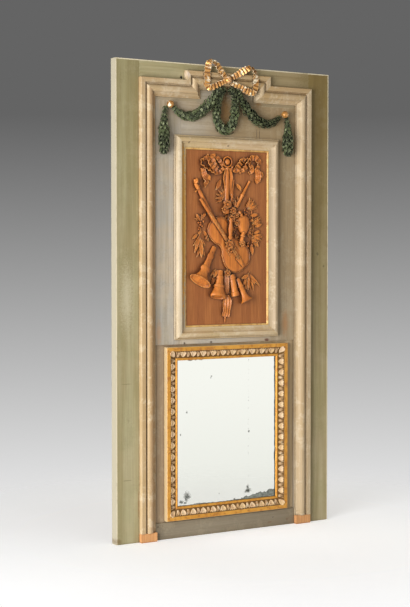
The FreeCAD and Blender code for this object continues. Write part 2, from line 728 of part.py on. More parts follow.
def drop(pin, length):
    """A garland that hangs beside a ball pin: thin at the top, heavy near the bottom."""
    count = 11
    x = pin[0] + math.copysign(DROP_SIDE_STEP, pin[0])
    y = FRONT - DROP_RADIUS * 0.5
    top = pin[1] - 10.0
    bottom = top - length
    places = [Vector(x, y, top + (bottom - top) * index / count) for index in range(count + 1)]
    radii = []
    for index in range(count + 1):
        swell = math.sin(math.pi * (index / count) ** 1.6) ** 0.8
        radii.append(DROP_END_RADIUS + (DROP_RADIUS - DROP_END_RADIUS) * swell)
    return carved_flat(whorl_rope(places, radii))


def centre_loop():
    """The closed garland that hangs below the knot: two ropes that meet at the bottom."""
    half = LOOP_HALF_WIDTH
    centre = KNOT_X - 2.0
    bottom = KNOT_Z - LOOP_LENGTH
    top = KNOT_Z - 2 * KNOT_RADIUS
    y_over = MOULDING_CREST - LOOP_RADIUS * 0.35
    y_low = FRONT - LOOP_RADIUS * 0.6
    count = 11
    ropes = []
    for sign in (-1, 1):
        points = [(centre + sign * 12.0, y_over, top), (centre + sign * half * 1.1, y_over, top - 30.0),
                  (centre + sign * half * 1.12, y_low, top - 85.0),
                  (centre + sign * half * 1.12, y_low, bottom - 8.0),
                  (centre, y_low, bottom)]
        radii = [LOOP_RADIUS * (0.72 + 0.28 * math.sin(math.pi * index / count / 2))
                 for index in range(count + 1)]
        ropes.append(whorl_rope(along_curve(points, count), radii))
    return carved_flat(ropes[0].fuse(ropes[1]))


def ribbon_strip(points, widths, y_front, y_back):
    """A flat strip of ribbon whose edges lie half a width each side of a centre line."""
    left = []
    right = []
    for index, (x, z) in enumerate(points):
        before = points[max(index - 1, 0)]
        after = points[min(index + 1, len(points) - 1)]
        run = math.hypot(after[0] - before[0], after[1] - before[1])
        across = ((before[1] - after[1]) / run, (after[0] - before[0]) / run)
        half = widths[index] / 2
        left.append((x + across[0] * half, z + across[1] * half))
        right.append((x - across[0] * half, z - across[1] * half))
    return front_prism(left + right[::-1], y_front, y_back)


def make_bow():
    """The gilt ribbon: a loop each side of the knot and a tail at the right.

    Each strip is a centre line, drawn from the knot, and its widths as shares of the ribbon's.
    """
    drawn_reach = 136.0
    scale = BOW_REACH / drawn_reach
    back = MOULDING_CREST - GARLAND_STANDOFF
    front = back - RIBBON_THICKNESS
    strips = [
        ([(-8, 4), (-38, 36), (-66, 60), (-92, 72)], [0.7, 0.9, 1, 1]),
        ([(-86, 74), (-102, 60), (-108, 20), (-108, -20), (-104, -36)], [0.8, 1, 1, 1, 0.8]),
        ([(-108, -36), (-84, -30), (-50, -18), (-8, -2)], [1, 1, 0.8, 0.6]),
        ([(8, 4), (40, 18), (74, 42), (106, 52)], [0.7, 0.9, 1, 1]),
        ([(100, 56), (124, 44), (136, 14), (134, -26), (124, -40)], [0.8, 1, 1, 1, 0.7]),
        ([(4, -6), (40, -24), (74, -38), (104, -50), (132, -58)], [0.5, 0.8, 0.9, 0.9, 0.6])]
    solids = []
    for line, shares in strips:
        points = [(KNOT_X + x * scale, KNOT_Z + z * scale) for x, z in line]
        solids.append(ribbon_strip(points, [share * RIBBON_WIDTH for share in shares], front, back))
    return solids[0].fuse(solids[1:])


def make_knot():
    """The knot of the bow: a domed boss."""
    y = MOULDING_CREST - GARLAND_STANDOFF
    ball = Part.makeSphere(KNOT_RADIUS, Vector(KNOT_X, y - RIBBON_THICKNESS * 0.4, KNOT_Z))
    return ball.cut(box(KNOT_X - 60, KNOT_X + 60, y, y + 60, KNOT_Z - 60, KNOT_Z + 60))


def make_pin(x, z):
    """A turned ball on a short shank that stands on the field."""
    ball = Part.makeSphere(PIN_RADIUS, Vector(x, FRONT - SWAG_RADIUS - PIN_RADIUS * 0.4, z))
    return ball.fuse(rod(x, FRONT - SWAG_RADIUS, FRONT, z, PIN_SHANK_RADIUS))


# ---- carved trophy of instruments ----

GROUND = FRONT


def on_panel(x, z):
    """Where a drawn place of the trophy lies on the relief panel."""
    return x * TROPHY_SCALE_ACROSS, RELIEF_CENTRE + (z - TROPHY_DRAWN_CENTRE) * TROPHY_SCALE_UP


def turned(start, end, profile):
    """A lathe-turned piece lying half sunk on the ground, along the line from start to end (X, Z).

    profile lists distances from start, as shares of the line, with the radius there.
    """
    start = on_panel(*start)
    end = on_panel(*end)
    direction = Vector(end[0] - start[0], 0, end[1] - start[1])
    length = direction.Length
    direction.normalize()
    origin = Vector(start[0], GROUND, start[1])
    across = direction.cross(Vector(0, 1, 0))
    rim = [origin + direction * (share * length) + across * (radius * TROPHY_SCALE)
           for share, radius in profile]
    corners = [origin + direction * (profile[0][0] * length)] + rim
    corners.append(origin + direction * (profile[-1][0] * length))
    section = Part.Face(Part.makePolygon(corners + corners[:1]))
    return section.revolve(origin, direction, 180)


def half_round(x0, z0, x1, z1, r0, r1):
    """A tapered round lying half sunk on the ground, from one place to another."""
    return turned((x0, z0), (x1, z1), [(0, r0), (1, r1)])


def slab(points, height):
    """A flat carved piece of the given outline that stands on the ground."""
    return front_prism([on_panel(x, z) for x, z in points], GROUND - height, GROUND)


def disc(x, z, radius, height):
    """A round boss on the ground."""
    x, z = on_panel(x, z)
    return rod(x, GROUND - height, GROUND, z, radius * TROPHY_SCALE)


def leaf(x0, z0, x1, z1, width, height):
    """A pointed leaf between two places: two arcs."""
    x0, z0 = on_panel(x0, z0)
    x1, z1 = on_panel(x1, z1)
    width = width * TROPHY_SCALE
    run = math.hypot(x1 - x0, z1 - z0)
    across = (-(z1 - z0) / run * width / 2, (x1 - x0) / run * width / 2)
    middle = ((x0 + x1) / 2, (z0 + z1) / 2)
    ends = (Vector(x0, GROUND - height, z0), Vector(x1, GROUND - height, z1))
    bulges = [Vector(middle[0] + side * across[0], GROUND - height, middle[1] + side * across[1])
              for side in (-1, 1)]
    outline = Part.Wire([Part.Arc(ends[0], bulges[0], ends[1]).toShape(),
                         Part.Arc(ends[1], bulges[1], ends[0]).toShape()])
    return Part.Face(outline).extrude(Vector(0, height, 0))


def make_violin():
    """Violin body with two bouts and a waist, its neck and scroll running up to the left."""
    height = 14.0
    upper = disc(-46, 1306, 58, height)
    lower = disc(40, 1192, 70, height)
    waist = slab([(-66, 1238), (-20, 1198), (30, 1262), (-8, 1306)], height)
    body = upper.fuse([lower, waist])
    neck = half_round(-34, 1314, -146, 1476, 13, 10)
    fingerboard = slab([(-44, 1306), (-30, 1322), (-112, 1428), (-126, 1418)], 20)
    scroll = disc(-160, 1500, 15, 17).fuse([disc(-155, 1472, 12, 15)])
    strings = slab([(10, 1250), (22, 1258), (-8, 1300), (-20, 1292)], 20)
    return body.fuse([neck, fingerboard, scroll, strings])


def make_rods():
    """The violin bow and the flute, crossing behind the torch."""
    bow = half_round(113, 1515, 44, 1400, 6, 8)
    flute = half_round(31, 1520, 16, 1400, 5, 6)
    return group([bow, flute])


def make_musette():
    """The musette bag at the right of the torch."""
    outline = [(48, 1340), (62, 1356), (86, 1363), (102, 1348), (107, 1330), (104, 1308), (94, 1292),
               (70, 1294), (60, 1312)]
    return slab(outline, 16.0)


def make_torch():
    """The hanging ring, its boss and the torch stem below it."""
    ring = disc(0, 1593.7, 24.5, 9).cut(disc(0, 1593.7, 19, 12))
    boss = disc(0, 1593.7, 16, 11)
    stem = slab([(-9, 1572), (9, 1572), (13, 1440), (9, 1366), (-16, 1366), (-20, 1440)], 12)
    ring_and_stem = ring.fuse(slab([(-6, 1568), (6, 1568), (6, 1576), (-6, 1576)], 9))
    return group([ring_and_stem.fuse(stem), boss])


def make_oboe():
    """The oboe at the lower left, with a turned ring and a wide bell."""
    return turned((-67, 1228), (-149, 1084),
                  [(0, 11), (0.60, 16), (0.61, 22), (0.66, 22), (0.67, 17), (0.80, 21), (0.88, 32),
                   (0.93, 48), (1.0, 54)])


def make_horn():
    """The horn below the violin, flaring to its bell."""
    return turned((-36, 1128), (-58, 1008),
                  [(0, 12), (0.55, 20), (0.56, 24), (0.62, 24), (0.63, 22), (0.85, 31), (0.92, 37), (1.0, 37)])


def make_pipes():
    """A pair of pipes and a small trumpet at the lower right."""
    pipes = turned((20, 1112), (40, 1018), [(0, 13), (1, 16)])
    trumpet = turned((50, 1094), (91, 992), [(0, 9), (0.72, 13), (0.90, 20), (1.0, 31)])
    return group([pipes, trumpet])


def make_sash():
    """The folded sash that trails below the instruments."""
    upper = slab([(-18, 1124), (4, 1124), (6, 1064), (1, 1012), (-20, 1012), (-22, 1064)], 11)
    lower = slab([(-14, 1014), (4, 1014), (17, 958), (-8, 942), (-26, 936)], 13)
    cord = slab([(-14, 944), (-8, 944), (-9, 906), (-13, 906)], 6)
    return upper.fuse([lower, cord])


def make_trophy_ribbon():
    """The carved ribbon at the top of the trophy, a loop and a tail on each side."""
    front = GROUND - 10.0
    left = [([(-22, 1566), (-50, 1552), (-92, 1560), (-122, 1578)], [12, 20, 22, 20]),
            ([(-124, 1578), (-112, 1602), (-90, 1608), (-66, 1590), (-44, 1566)], [20, 22, 18, 20, 14]),
            ([(-122, 1566), (-118, 1534), (-108, 1508), (-112, 1482)], [18, 24, 16, 6])]
    right = [([(24, 1568), (54, 1566), (86, 1552), (120, 1570)], [14, 26, 22, 16]),
             ([(60, 1580), (92, 1602), (126, 1606), (148, 1584), (136, 1556)], [18, 22, 20, 22, 18]),
             ([(142, 1562), (150, 1540), (146, 1506)], [22, 26, 8])]
    sides = []
    for strips in (left, right):
        solids = [ribbon_strip([on_panel(x, z) for x, z in points],
                               [width * TROPHY_SCALE for width in widths], front, GROUND)
                  for points, widths in strips]
        sides.append(solids[0].fuse(solids[1:]))
    return group(sides)


def make_sprays():
    """Laurel leaves and berries round the instruments."""
    ends = [(-140, 1290, -175, 1262), (-142, 1276, -163, 1206), (-136, 1262, -130, 1184),
            (-118, 1300, -102, 1268), (-130, 1352, -108, 1376), (-146, 1346, -158, 1372),
            (110, 1388, 142, 1408), (118, 1366, 158, 1372), (140, 1318, 176, 1331),
            (132, 1275, 184, 1276), (126, 1257, 160, 1232), (118, 1240, 126, 1196),
            (114, 1122, 88, 1030), (118, 1112, 141, 1066), (108, 1110, 70, 1094),
            (-58, 1112, -82, 1066), (-33, 1518, -58, 1472), (44, 1502, 68, 1472)]
    leaves = [leaf(x0, z0, x1, z1, 14.0, 7.0) for x0, z0, x1, z1 in ends]
    berries = [(-128, 1326), (-133, 1304), (-143, 1324), (-122, 1338), (-146, 1308)]
    return leaves + [disc(x, z, 7.5, 9.0) for x, z in berries]


def trophy_pieces():
    """All carved pieces, front ones first; each later one is cut back by those in front of it."""
    pieces = {"trophy_violin": make_violin(), "trophy_torch": make_torch(), "trophy_sash": make_sash(),
              "trophy_musette": make_musette(), "trophy_ribbon": make_trophy_ribbon(),
              "trophy_oboe": make_oboe(), "trophy_horn": make_horn(), "trophy_pipes": make_pipes(),
              "trophy_bow_and_flute": make_rods(), "trophy_laurel_sprays": group(make_sprays())}
    placed = []
    for name, piece in pieces.items():
        kept = []
        for solid in piece.Solids:
            for other in placed:
                if other.BoundBox.intersect(solid.BoundBox):
                    solid = solid.cut(other)
            smallest = 60.0
            kept += [part for part in solid.Solids if part.Volume > smallest]
        placed += kept
        pieces[name] = group(kept)
    return pieces


# ---- assembly ----

def build():
    """Make every sub-part and write it."""
    os.makedirs("parts", exist_ok=True)
    stile = make_stile()
    save("left_stile", mirrored(stile))
    save("right_stile", stile)
    save("top_rail", cut_for_plates(make_rail(TOP_RAIL_BOTTOM, OVERALL_HEIGHT)))
    save("bottom_rail", make_rail(0, BOTTOM_RAIL_HEIGHT).cut(recess_seat()))
    field_board = make_side_field_board()
    save("left_field_board", drill_board(mirrored(field_board)))
    save("right_field_board", drill_board(field_board))
    save("upper_field_boards", group([drill_board(board) for board in make_upper_field_boards()]))
    save("mid_rail", drill_board(make_mid_rail()))
    save("mirror_recess_panel", drill_board(make_recess_panel()))
    save("cross_battens", make_battens())
    plinth = make_plinth_block()
    save("plinth_blocks", group([mirrored(plinth), plinth]))
    save("hanging_plates", group([make_hanging_plate(sign * PLATE_X) for sign in (-1, 1)]))
    save("back_screws", make_screws())

    moulding = make_moulding("outer_band_", outer_band_face())
    moulding.update(make_moulding("inner_ogee_", inner_ogee_face()))
    for name, solid in moulding.items():
        save(name, solid)

    members = mitred_ring(relief_member_face(), RELIEF_HALF_WIDTH, RELIEF_BOTTOM, RELIEF_TOP,
                          RELIEF_MEMBER_WIDTH, FRONT)
    for side, solid in members.items():
        save("relief_frame_" + side, solid)
    inset = RELIEF_MEMBER_WIDTH
    slips = mitred_ring(slip_face(), RELIEF_HALF_WIDTH - inset, RELIEF_BOTTOM + inset, RELIEF_TOP - inset,
                        SLIP_WIDTH, FRONT)
    save("relief_gilt_slips", group(list(slips.values())))
    save("relief_panel", drill_board(make_relief_panel()))
    for name, piece in trophy_pieces().items():
        save(name, piece)

    gilt = mitred_ring(gilt_member_face(), GILT_HALF_WIDTH, GILT_BOTTOM, GILT_TOP, GILT_MEMBER_WIDTH,
                       RECESS_FACE)
    for side, solid in gilt.items():
        save("gilt_frame_" + side, drill_for_sprigs(solid))
    save("gilt_leaf_and_dart", make_leaf_and_dart())
    save("mirror_glass", make_glass())
    save("mirror_backboard", make_backboard())
    save("glazing_sprigs", make_sprigs())

    knot = make_knot()
    bow = make_bow().cut(knot)
    save("bow_knot", knot)
    save("bow_ribbon", bow)
    save("ball_pins", group([make_pin(*LEFT_PIN), make_pin(*RIGHT_PIN)]))
    loop = centre_loop()
    garlands = {
        "garland_centre_loop": loop,
        "garland_left_swag": swag(LEFT_PIN, loop.BoundBox.XMin - BESIDE),
        "garland_right_swag": swag(RIGHT_PIN, loop.BoundBox.XMax + BESIDE),
        "garland_left_drop": drop(LEFT_PIN, LEFT_DROP_LENGTH),
        "garland_right_drop": drop(RIGHT_PIN, RIGHT_DROP_LENGTH)}
    for name, solid in garlands.items():
        save(name, solid)


build()
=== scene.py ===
"""Looks of a painted trumeau mirror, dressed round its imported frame.

Lengths are metres. +X is the viewer's right, the front faces -Y and +Z is up. Carved pieces are
modelled on a bench, lying flat with +X right, +Y up the panel and +Z towards the viewer, and are then
stood up against the panel.
"""

import logging
import math
import random
from dataclasses import dataclass, replace
from enum import Enum
from typing import Any, Callable, Sequence

import bmesh
import bpy
from mathutils import Matrix, Vector


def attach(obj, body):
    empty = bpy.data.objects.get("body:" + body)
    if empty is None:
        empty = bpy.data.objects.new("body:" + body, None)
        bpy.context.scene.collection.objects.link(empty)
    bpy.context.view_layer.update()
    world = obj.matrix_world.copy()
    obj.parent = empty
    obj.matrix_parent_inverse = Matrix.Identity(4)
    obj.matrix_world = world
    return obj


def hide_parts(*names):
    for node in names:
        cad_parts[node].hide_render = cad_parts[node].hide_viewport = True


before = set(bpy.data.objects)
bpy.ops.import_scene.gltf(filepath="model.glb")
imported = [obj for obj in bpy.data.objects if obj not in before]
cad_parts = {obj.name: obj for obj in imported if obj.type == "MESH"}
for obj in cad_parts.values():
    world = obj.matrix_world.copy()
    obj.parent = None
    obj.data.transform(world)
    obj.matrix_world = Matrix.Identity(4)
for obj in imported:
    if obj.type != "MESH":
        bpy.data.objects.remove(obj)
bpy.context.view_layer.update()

LOG = logging.getLogger("trumeau")
MM = 0.001
BODY = "root"
MERGE_REACH = 0.02 * MM
PANEL_FRONT = 20 * MM
MOULDING_CREST = 45.4 * MM
PANEL_HALF_WIDTH = 535.5 * MM
PANEL_TOP = 2000 * MM
FRAME_HALF_WIDTH = 306.5 * MM
FRAME_TOP = 810.1 * MM
FRAME_BOTTOM = 76.3 * MM
FRAME_MEMBER = 58 * MM
FRAME_BAND = 18 * MM
FRAME_FILLET = 11 * MM
FRAME_FACE = PANEL_FRONT - 6.8 * MM
SMOOTH_ANGLE = math.radians(38)

Piece = bpy.types.Object
Socket = bpy.types.NodeSocket
Place = tuple[float, float]
Colour = tuple[float, float, float, float]

class Pick(Enum):
    """What a selection by place takes."""

    VERTS = "VERT"
    FACES = "FACE"

# ---- bench tools: Blender's own operators under short names ----

def deselect() -> None:
    """Leave edit mode and select nothing."""
    if bpy.context.mode != "OBJECT":
        bpy.ops.object.mode_set(mode="OBJECT")
    bpy.ops.object.select_all(action="DESELECT")

def alone(piece: Piece) -> None:
    """Select one piece and make it the active one.

    Args:
        piece: The piece.
    """
    deselect()
    piece.select_set(True)
    bpy.context.view_layer.objects.active = piece

def open_mesh(piece: Piece, selected: bool = True) -> None:
    """Enter edit mode.

    Args:
        piece: The piece to shape.
        selected: Whether its whole mesh starts selected.
    """
    alone(piece)
    bpy.ops.object.mode_set(mode="EDIT")
    bpy.ops.mesh.select_mode(type=Pick.VERTS.value)
    bpy.ops.mesh.select_all(action="SELECT" if selected else "DESELECT")

def close_mesh() -> None:
    """Leave edit mode."""
    bpy.ops.object.mode_set(mode="OBJECT")

def pick(piece: Piece, test: Callable[[Vector], bool], kind: Pick = Pick.VERTS) -> None:
    """Select by place, in edit mode.

    Args:
        piece: The piece being shaped.
        test: Says for a place whether what lies there is taken.
        kind: Vertices, or faces by their middle.
    """
    bpy.ops.mesh.select_mode(type=kind.value)
    bpy.ops.mesh.select_all(action="DESELECT")
    mesh = bmesh.from_edit_mesh(piece.data)
    if kind is Pick.VERTS:
        for vert in mesh.verts:
            vert.select_set(test(vert.co))
    else:
        for face in mesh.faces:
            face.select_set(test(face.calc_center_median()))
    mesh.select_flush_mode()
    bmesh.update_edit_mesh(piece.data)

def clean_mesh(piece: Piece) -> None:
    """Merge doubled points and turn every face outwards.

    Args:
        piece: The piece to clean.
    """
    open_mesh(piece)
    bpy.ops.mesh.remove_doubles(threshold=MERGE_REACH)
    bpy.ops.mesh.normals_make_consistent(inside=False)
    close_mesh()

def settle(piece: Piece, matrix: Matrix) -> Piece:
    """Write a place into a piece's mesh.

    Args:
        piece: The piece to place.
        matrix: Where its own frame goes.

    Returns:
        The same piece, at the origin.
    """
    alone(piece)
    piece.matrix_world = matrix
    bpy.context.view_layer.update()
    bpy.ops.object.transform_apply(location=True, rotation=True, scale=True)
    return piece

def twin(piece: Piece, matrix: Matrix) -> Piece:
    """Copy a piece with its mesh.

    Args:
        piece: The pattern.
        matrix: Where the copy stands.

    Returns:
        The copy.
    """
    made = piece.copy()
    made.data = piece.data.copy()
    bpy.context.scene.collection.objects.link(made)
    made.matrix_world = matrix
    return made

def drop_piece(piece: Piece) -> None:
    """Delete a piece that only served as a pattern."""
    bpy.data.objects.remove(piece, do_unlink=True)

def join(pieces: Sequence[Piece], name: str) -> Piece:
    """Join pieces into one mesh at the origin.

    Args:
        pieces: What to join; the first one's frame is kept until it is applied.
        name: The joined piece's name.

    Returns:
        The joined piece.
    """
    deselect()
    bpy.context.view_layer.update()
    for piece in pieces:
        piece.select_set(True)
    bpy.context.view_layer.objects.active = pieces[0]
    if len(pieces) > 1:
        bpy.ops.object.join()
    joined = bpy.context.view_layer.objects.active
    joined.name = name
    bpy.ops.object.transform_apply(location=True, rotation=True, scale=True)
    return joined

def finish_modifier(piece: Piece, kind: str, **settings: Any) -> None:
    """Add a modifier and apply it.

    Args:
        piece: The piece to change.
        kind: Blender's name for the modifier.
        **settings: Its properties.
    """
    alone(piece)
    modifier = piece.modifiers.new(kind.title(), kind)
    for key, value in settings.items():
        setattr(modifier, key, value)
    bpy.ops.object.modifier_apply(modifier=modifier.name)

def chain(points: Sequence[Vector]) -> Piece:
    """Draw a line of edges by extruding one point from place to place.

    Args:
        points: The places, in order.

    Returns:
        The line, a mesh of edges only.
    """
    deselect()
    bpy.ops.mesh.primitive_plane_add(size=MM, location=points[0])
    piece = bpy.context.object
    bpy.ops.object.transform_apply(location=True)
    open_mesh(piece)
    bpy.ops.mesh.merge(type="CENTER")
    for before, after in zip(points, points[1:]):
        bpy.ops.mesh.extrude_vertices_move(TRANSFORM_OT_translate={"value": after - before})
    close_mesh()
    return piece

def rounded_plate(outline: Sequence[Place], height: float, steps: Sequence[Place]) -> Piece:
    """A carved flat piece: its outline is traced, filled and raised, then stepped in to a dome.

    Args:
        outline: The corners in order, on the bench.
        height: How far its sides rise before the dome.
        steps: Pairs of inset and rise, from the rim to the crown.

    Returns:
        The piece, standing on the bench.
    """
    corners = [Vector((x, y, 0)) for x, y in outline]
    piece = chain(corners + corners[:1])
    open_mesh(piece)
    bpy.ops.mesh.remove_doubles(threshold=MERGE_REACH)
    bpy.ops.mesh.edge_face_add()
    bpy.ops.mesh.extrude_region_move(TRANSFORM_OT_translate={"value": (0, 0, height)})
    for inset, rise in steps:
        bpy.ops.mesh.inset(thickness=inset, use_even_offset=True)
        bpy.ops.transform.translate(value=(0, 0, rise))
    close_mesh()
    clean_mesh(piece)
    return piece

def lathe(profile: Sequence[Place], steps: int = 28) -> Piece:
    """A turned piece round the X axis.

    Args:
        profile: Pairs of distance along X and radius; it starts and ends on the axis.
        steps: Facets round the piece.

    Returns:
        The turned piece.
    """
    piece = chain([Vector((along, radius, 0)) for along, radius in profile])
    open_mesh(piece)
    bpy.ops.mesh.spin(steps=steps, angle=math.tau, center=(0, 0, 0), axis=(1, 0, 0))
    close_mesh()
    clean_mesh(piece)
    return piece

def cut_below(piece: Piece, level: float = 0.0) -> Piece:
    """Cut off what lies under a level of the bench and close the cut.

    Args:
        piece: The piece to cut.
        level: The height of the cut.

    Returns:
        The same piece.
    """
    open_mesh(piece)
    bpy.ops.mesh.bisect(plane_co=(0, 0, level), plane_no=(0, 0, 1), use_fill=True, clear_inner=True)
    close_mesh()
    return piece

def grid(length: float, rows: int, columns: int) -> Piece:
    """Lay out a flat sheet from X = 0 to its length, one unit wide.

    Args:
        length: Its length.
        rows: Its cells along X.
        columns: Its cells across.

    Returns:
        The sheet.
    """
    deselect()
    bpy.ops.mesh.primitive_grid_add(x_subdivisions=rows, y_subdivisions=columns, size=1,
                                    location=(0.5, 0, 0))
    piece = bpy.context.object
    bpy.ops.object.transform_apply(location=True)
    return settle(piece, Matrix.Diagonal((length, 1, 1, 1)))

def shape_rows(piece: Piece, length: float, rows: int, width: Callable[[float], float],
               height: Callable[[float], float]) -> None:
    """Give each cross row of a sheet its width and height.

    Args:
        piece: A sheet made by grid.
        length: Its length.
        rows: Its number of cells along the length.
        width: The width at a share of the length.
        height: The height at a share of the length.
    """
    open_mesh(piece, selected=False)
    reach = length / rows / 4
    for index in range(rows + 1):
        share = index / rows
        middle = share * length
        pick(piece, lambda place: abs(place.x - middle) < reach)
        bpy.ops.transform.resize(value=(1, width(share), 1), center_override=(middle, 0, 0))
        bpy.ops.transform.translate(value=(0, 0, height(share)))
    close_mesh()

def bezier(points: Sequence[Vector], share: float) -> Vector:
    """Find a place on the curve that a row of control points pulls.

    Args:
        points: The control points.
        share: How far along the curve, from 0 to 1.

    Returns:
        The place.
    """
    row = list(points)
    while len(row) > 1:
        row = [before.lerp(after, share) for before, after in zip(row, row[1:])]
    return row[0]

class Path:
    """A smooth line on the bench that straight pieces are bent along."""

    def __init__(self, points: Sequence[Vector], tilts: Sequence[float] = ()) -> None:
        """Draw the line through its points.

        Args:
            points: Places that it passes through.
            tilts: A turn about the line at each point, in degrees.
        """
        deselect()
        bpy.ops.curve.primitive_bezier_curve_add()
        self.curve = bpy.context.object
        self.curve.data.dimensions = "3D"
        self.curve.data.twist_mode = "Z_UP"
        self.curve.data.resolution_u = 24
        spline = self.curve.data.splines[0]
        spline.bezier_points.add(len(points) - 2)
        for index, (knot, place) in enumerate(zip(spline.bezier_points, points)):
            knot.handle_left_type = knot.handle_right_type = "AUTO"
            knot.co = place
            knot.tilt = math.radians(tilts[index]) if tilts else 0.0
        self.curve.matrix_world = Matrix.Identity(4)
        bpy.context.view_layer.update()
        self.length = spline.calc_length()

    def bend(self, piece: Piece) -> Piece:
        """Bend a piece that lies along X from 0 to this line's length."""
        finish_modifier(piece, "CURVE", object=self.curve, deform_axis="POS_X")
        return piece

    def done(self) -> None:
        """Take the line away."""
        drop_piece(self.curve)

def bench(x: float, z: float, out: float) -> Vector:
    """The bench place of X and Z of the front, at a distance in front of the panel's middle."""
    return Vector((x, z, out))

def stand_up(piece: Piece, ground: float) -> Piece:
    """Stand a bench piece up, with the bench's top at the given distance in front of the middle."""
    return settle(piece, Matrix.Translation((0, -ground, 0)) @ Matrix.Rotation(math.pi / 2, 4, "X"))

def coat(piece: Piece, materials: Sequence[bpy.types.Material]) -> None:
    """Put materials in place of those that a piece has.

    Args:
        piece: The piece.
        materials: Its new materials, in the order of its slots.
    """
    piece.data.materials.clear()
    for material in materials:
        piece.data.materials.append(material)

def hand_over(piece: Piece, node: str, materials: Sequence[bpy.types.Material]) -> None:
    """Dress a finished piece and let it stand for its node.

    Args:
        piece: The piece, in place.
        node: The frame node that it replaces.
        materials: Its materials, in the order of its mesh's slots; none keeps what it has.
    """
    if materials:
        coat(piece, materials)
    alone(piece)
    bpy.ops.object.shade_smooth_by_angle(angle=SMOOTH_ANGLE)
    piece.name = "carved_" + node
    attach(piece, BODY)
    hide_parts(node)
    LOG.info("%s: %d faces", piece.name, len(piece.data.polygons))

def dress(nodes: Sequence[str], material: bpy.types.Material) -> None:
    """Give frame nodes a material in their own slots.

    Args:
        nodes: The nodes.
        material: The material.
    """
    for node in nodes:
        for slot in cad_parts[node].material_slots:
            slot.material = material

# ---- shader tools ----

def srgb(red: float, green: float, blue: float) -> Colour:
    """Turn a screen colour into the renderer's linear values.

    Args:
        red: Its red, from 0 to 255.
        green: Its green.
        blue: Its blue.

    Returns:
        The linear colour, opaque.
    """
    linear = [(value / 255 / 12.92) if value <= 10 else ((value / 255 + 0.055) / 1.055) ** 2.4
              for value in (red, green, blue)]
    return (linear[0], linear[1], linear[2], 1.0)

class Sheet:
    """Adds and links shader nodes in one node tree."""

    def __init__(self, tree: bpy.types.NodeTree) -> None:
        """Work on the given tree."""
        self.tree = tree

    def feed(self, socket: Socket, value: Any) -> None:
        """Link a value to an input, or set it there.

        Args:
            socket: The input.
            value: A socket to link, or a plain value to set.
        """
        if isinstance(value, Socket):
            self.tree.links.new(value, socket)
        else:
            socket.default_value = value

    def node(self, kind: str, values: dict[Any, Any] | None = None, **settings: Any) -> bpy.types.Node:
        """Add a shader node.

        Args:
            kind: Its type without the leading ShaderNode.
            values: Values or sockets for its inputs, by name or index.
            **settings: Its properties.

        Returns:
            The node.
        """
        made = self.tree.nodes.new("ShaderNode" + kind)
        for key, value in settings.items():
            setattr(made, key, value)
        for key, value in (values or {}).items():
            self.feed(made.inputs[key], value)
        return made

    def calc(self, operation: str, *values: Any) -> Socket:
        """The result of a Math node."""
        return self.node("Math", dict(enumerate(values)), operation=operation).outputs[0]

    def times(self, first: Any, second: Any) -> Socket:
        """The product of two numbers."""
        return self.calc("MULTIPLY", first, second)

    def plus(self, first: Any, second: Any) -> Socket:
        """The sum of two numbers."""
        return self.calc("ADD", first, second)

    def less(self, first: Any, second: Any) -> Socket:
        """The first number less the second."""
        return self.calc("SUBTRACT", first, second)

    def most(self, first: Any, second: Any) -> Socket:
        """The greater of two numbers."""
        return self.calc("MAXIMUM", first, second)

    def mix(self, mask: Any, first: Any, second: Any, blend: str = "MIX") -> Socket:
        """Two colours mixed by a mask, the second one where it is 1."""
        made = self.node("Mix", {0: mask, 6: first, 7: second}, data_type="RGBA", blend_type=blend)
        return made.outputs[2]

    def lay(self, under: Any, over: Any, mask: Any, share: float) -> Socket:
        """One colour laid over another, where a mask is 1 as far as the given share."""
        return self.mix(self.times(mask, share), under, over)

    def span(self, value: Any, low: Any, high: Any, to_low: float = 0.0, to_high: float = 1.0) -> Socket:
        """Ease a value from one range to another and keep it inside.

        Args:
            value: The value.
            low: Where the first range starts.
            high: Where it ends.
            to_low: What its start becomes.
            to_high: What its end becomes.

        Returns:
            The eased value.
        """
        made = self.node("MapRange", {"Value": value, "From Min": low, "From Max": high, "To Min": to_low,
                                      "To Max": to_high}, interpolation_type="SMOOTHSTEP")
        return made.outputs["Result"]

    def place(self, stretch: Sequence[float] = (1, 1, 1)) -> Socket:
        """The place on the piece, stretched."""
        here = self.node("TexCoord").outputs["Object"]
        return self.node("Mapping", {"Vector": here, "Scale": stretch}).outputs[0]

    def axes(self) -> Any:
        """The X, Y and Z of the place on the piece."""
        return self.node("SeparateXYZ", {0: self.place()}).outputs

    def noise(self, place: Any, scale: Any, detail: float = 4.0, rough: float = 0.55,
              twist: float = 0.0) -> Socket:
        """Cloudy noise.

        Args:
            place: Where it is read.
            scale: Its fineness.
            detail: Its octaves.
            rough: How strong the fine ones are.
            twist: Its distortion.

        Returns:
            The noise, from 0 to 1.
        """
        made = self.node("TexNoise", {"Vector": place, "Scale": scale, "Detail": detail,
                                      "Roughness": rough, "Distortion": twist})
        return made.outputs["Fac"]

    def effect(self, name: str, **values: Any) -> Any:
        """Place a shared effect.

        Args:
            name: Its node group.
            **values: Its inputs.

        Returns:
            Its outputs.
        """
        made = self.node("Group", node_tree=bpy.data.node_groups[name])
        for key, value in values.items():
            self.feed(made.inputs[key.replace("_", " ").capitalize()], value)
        return made.outputs

    def mask(self, name: str, **values: Any) -> Socket:
        """The first output of a shared effect."""
        return self.effect(name, **values)[0]

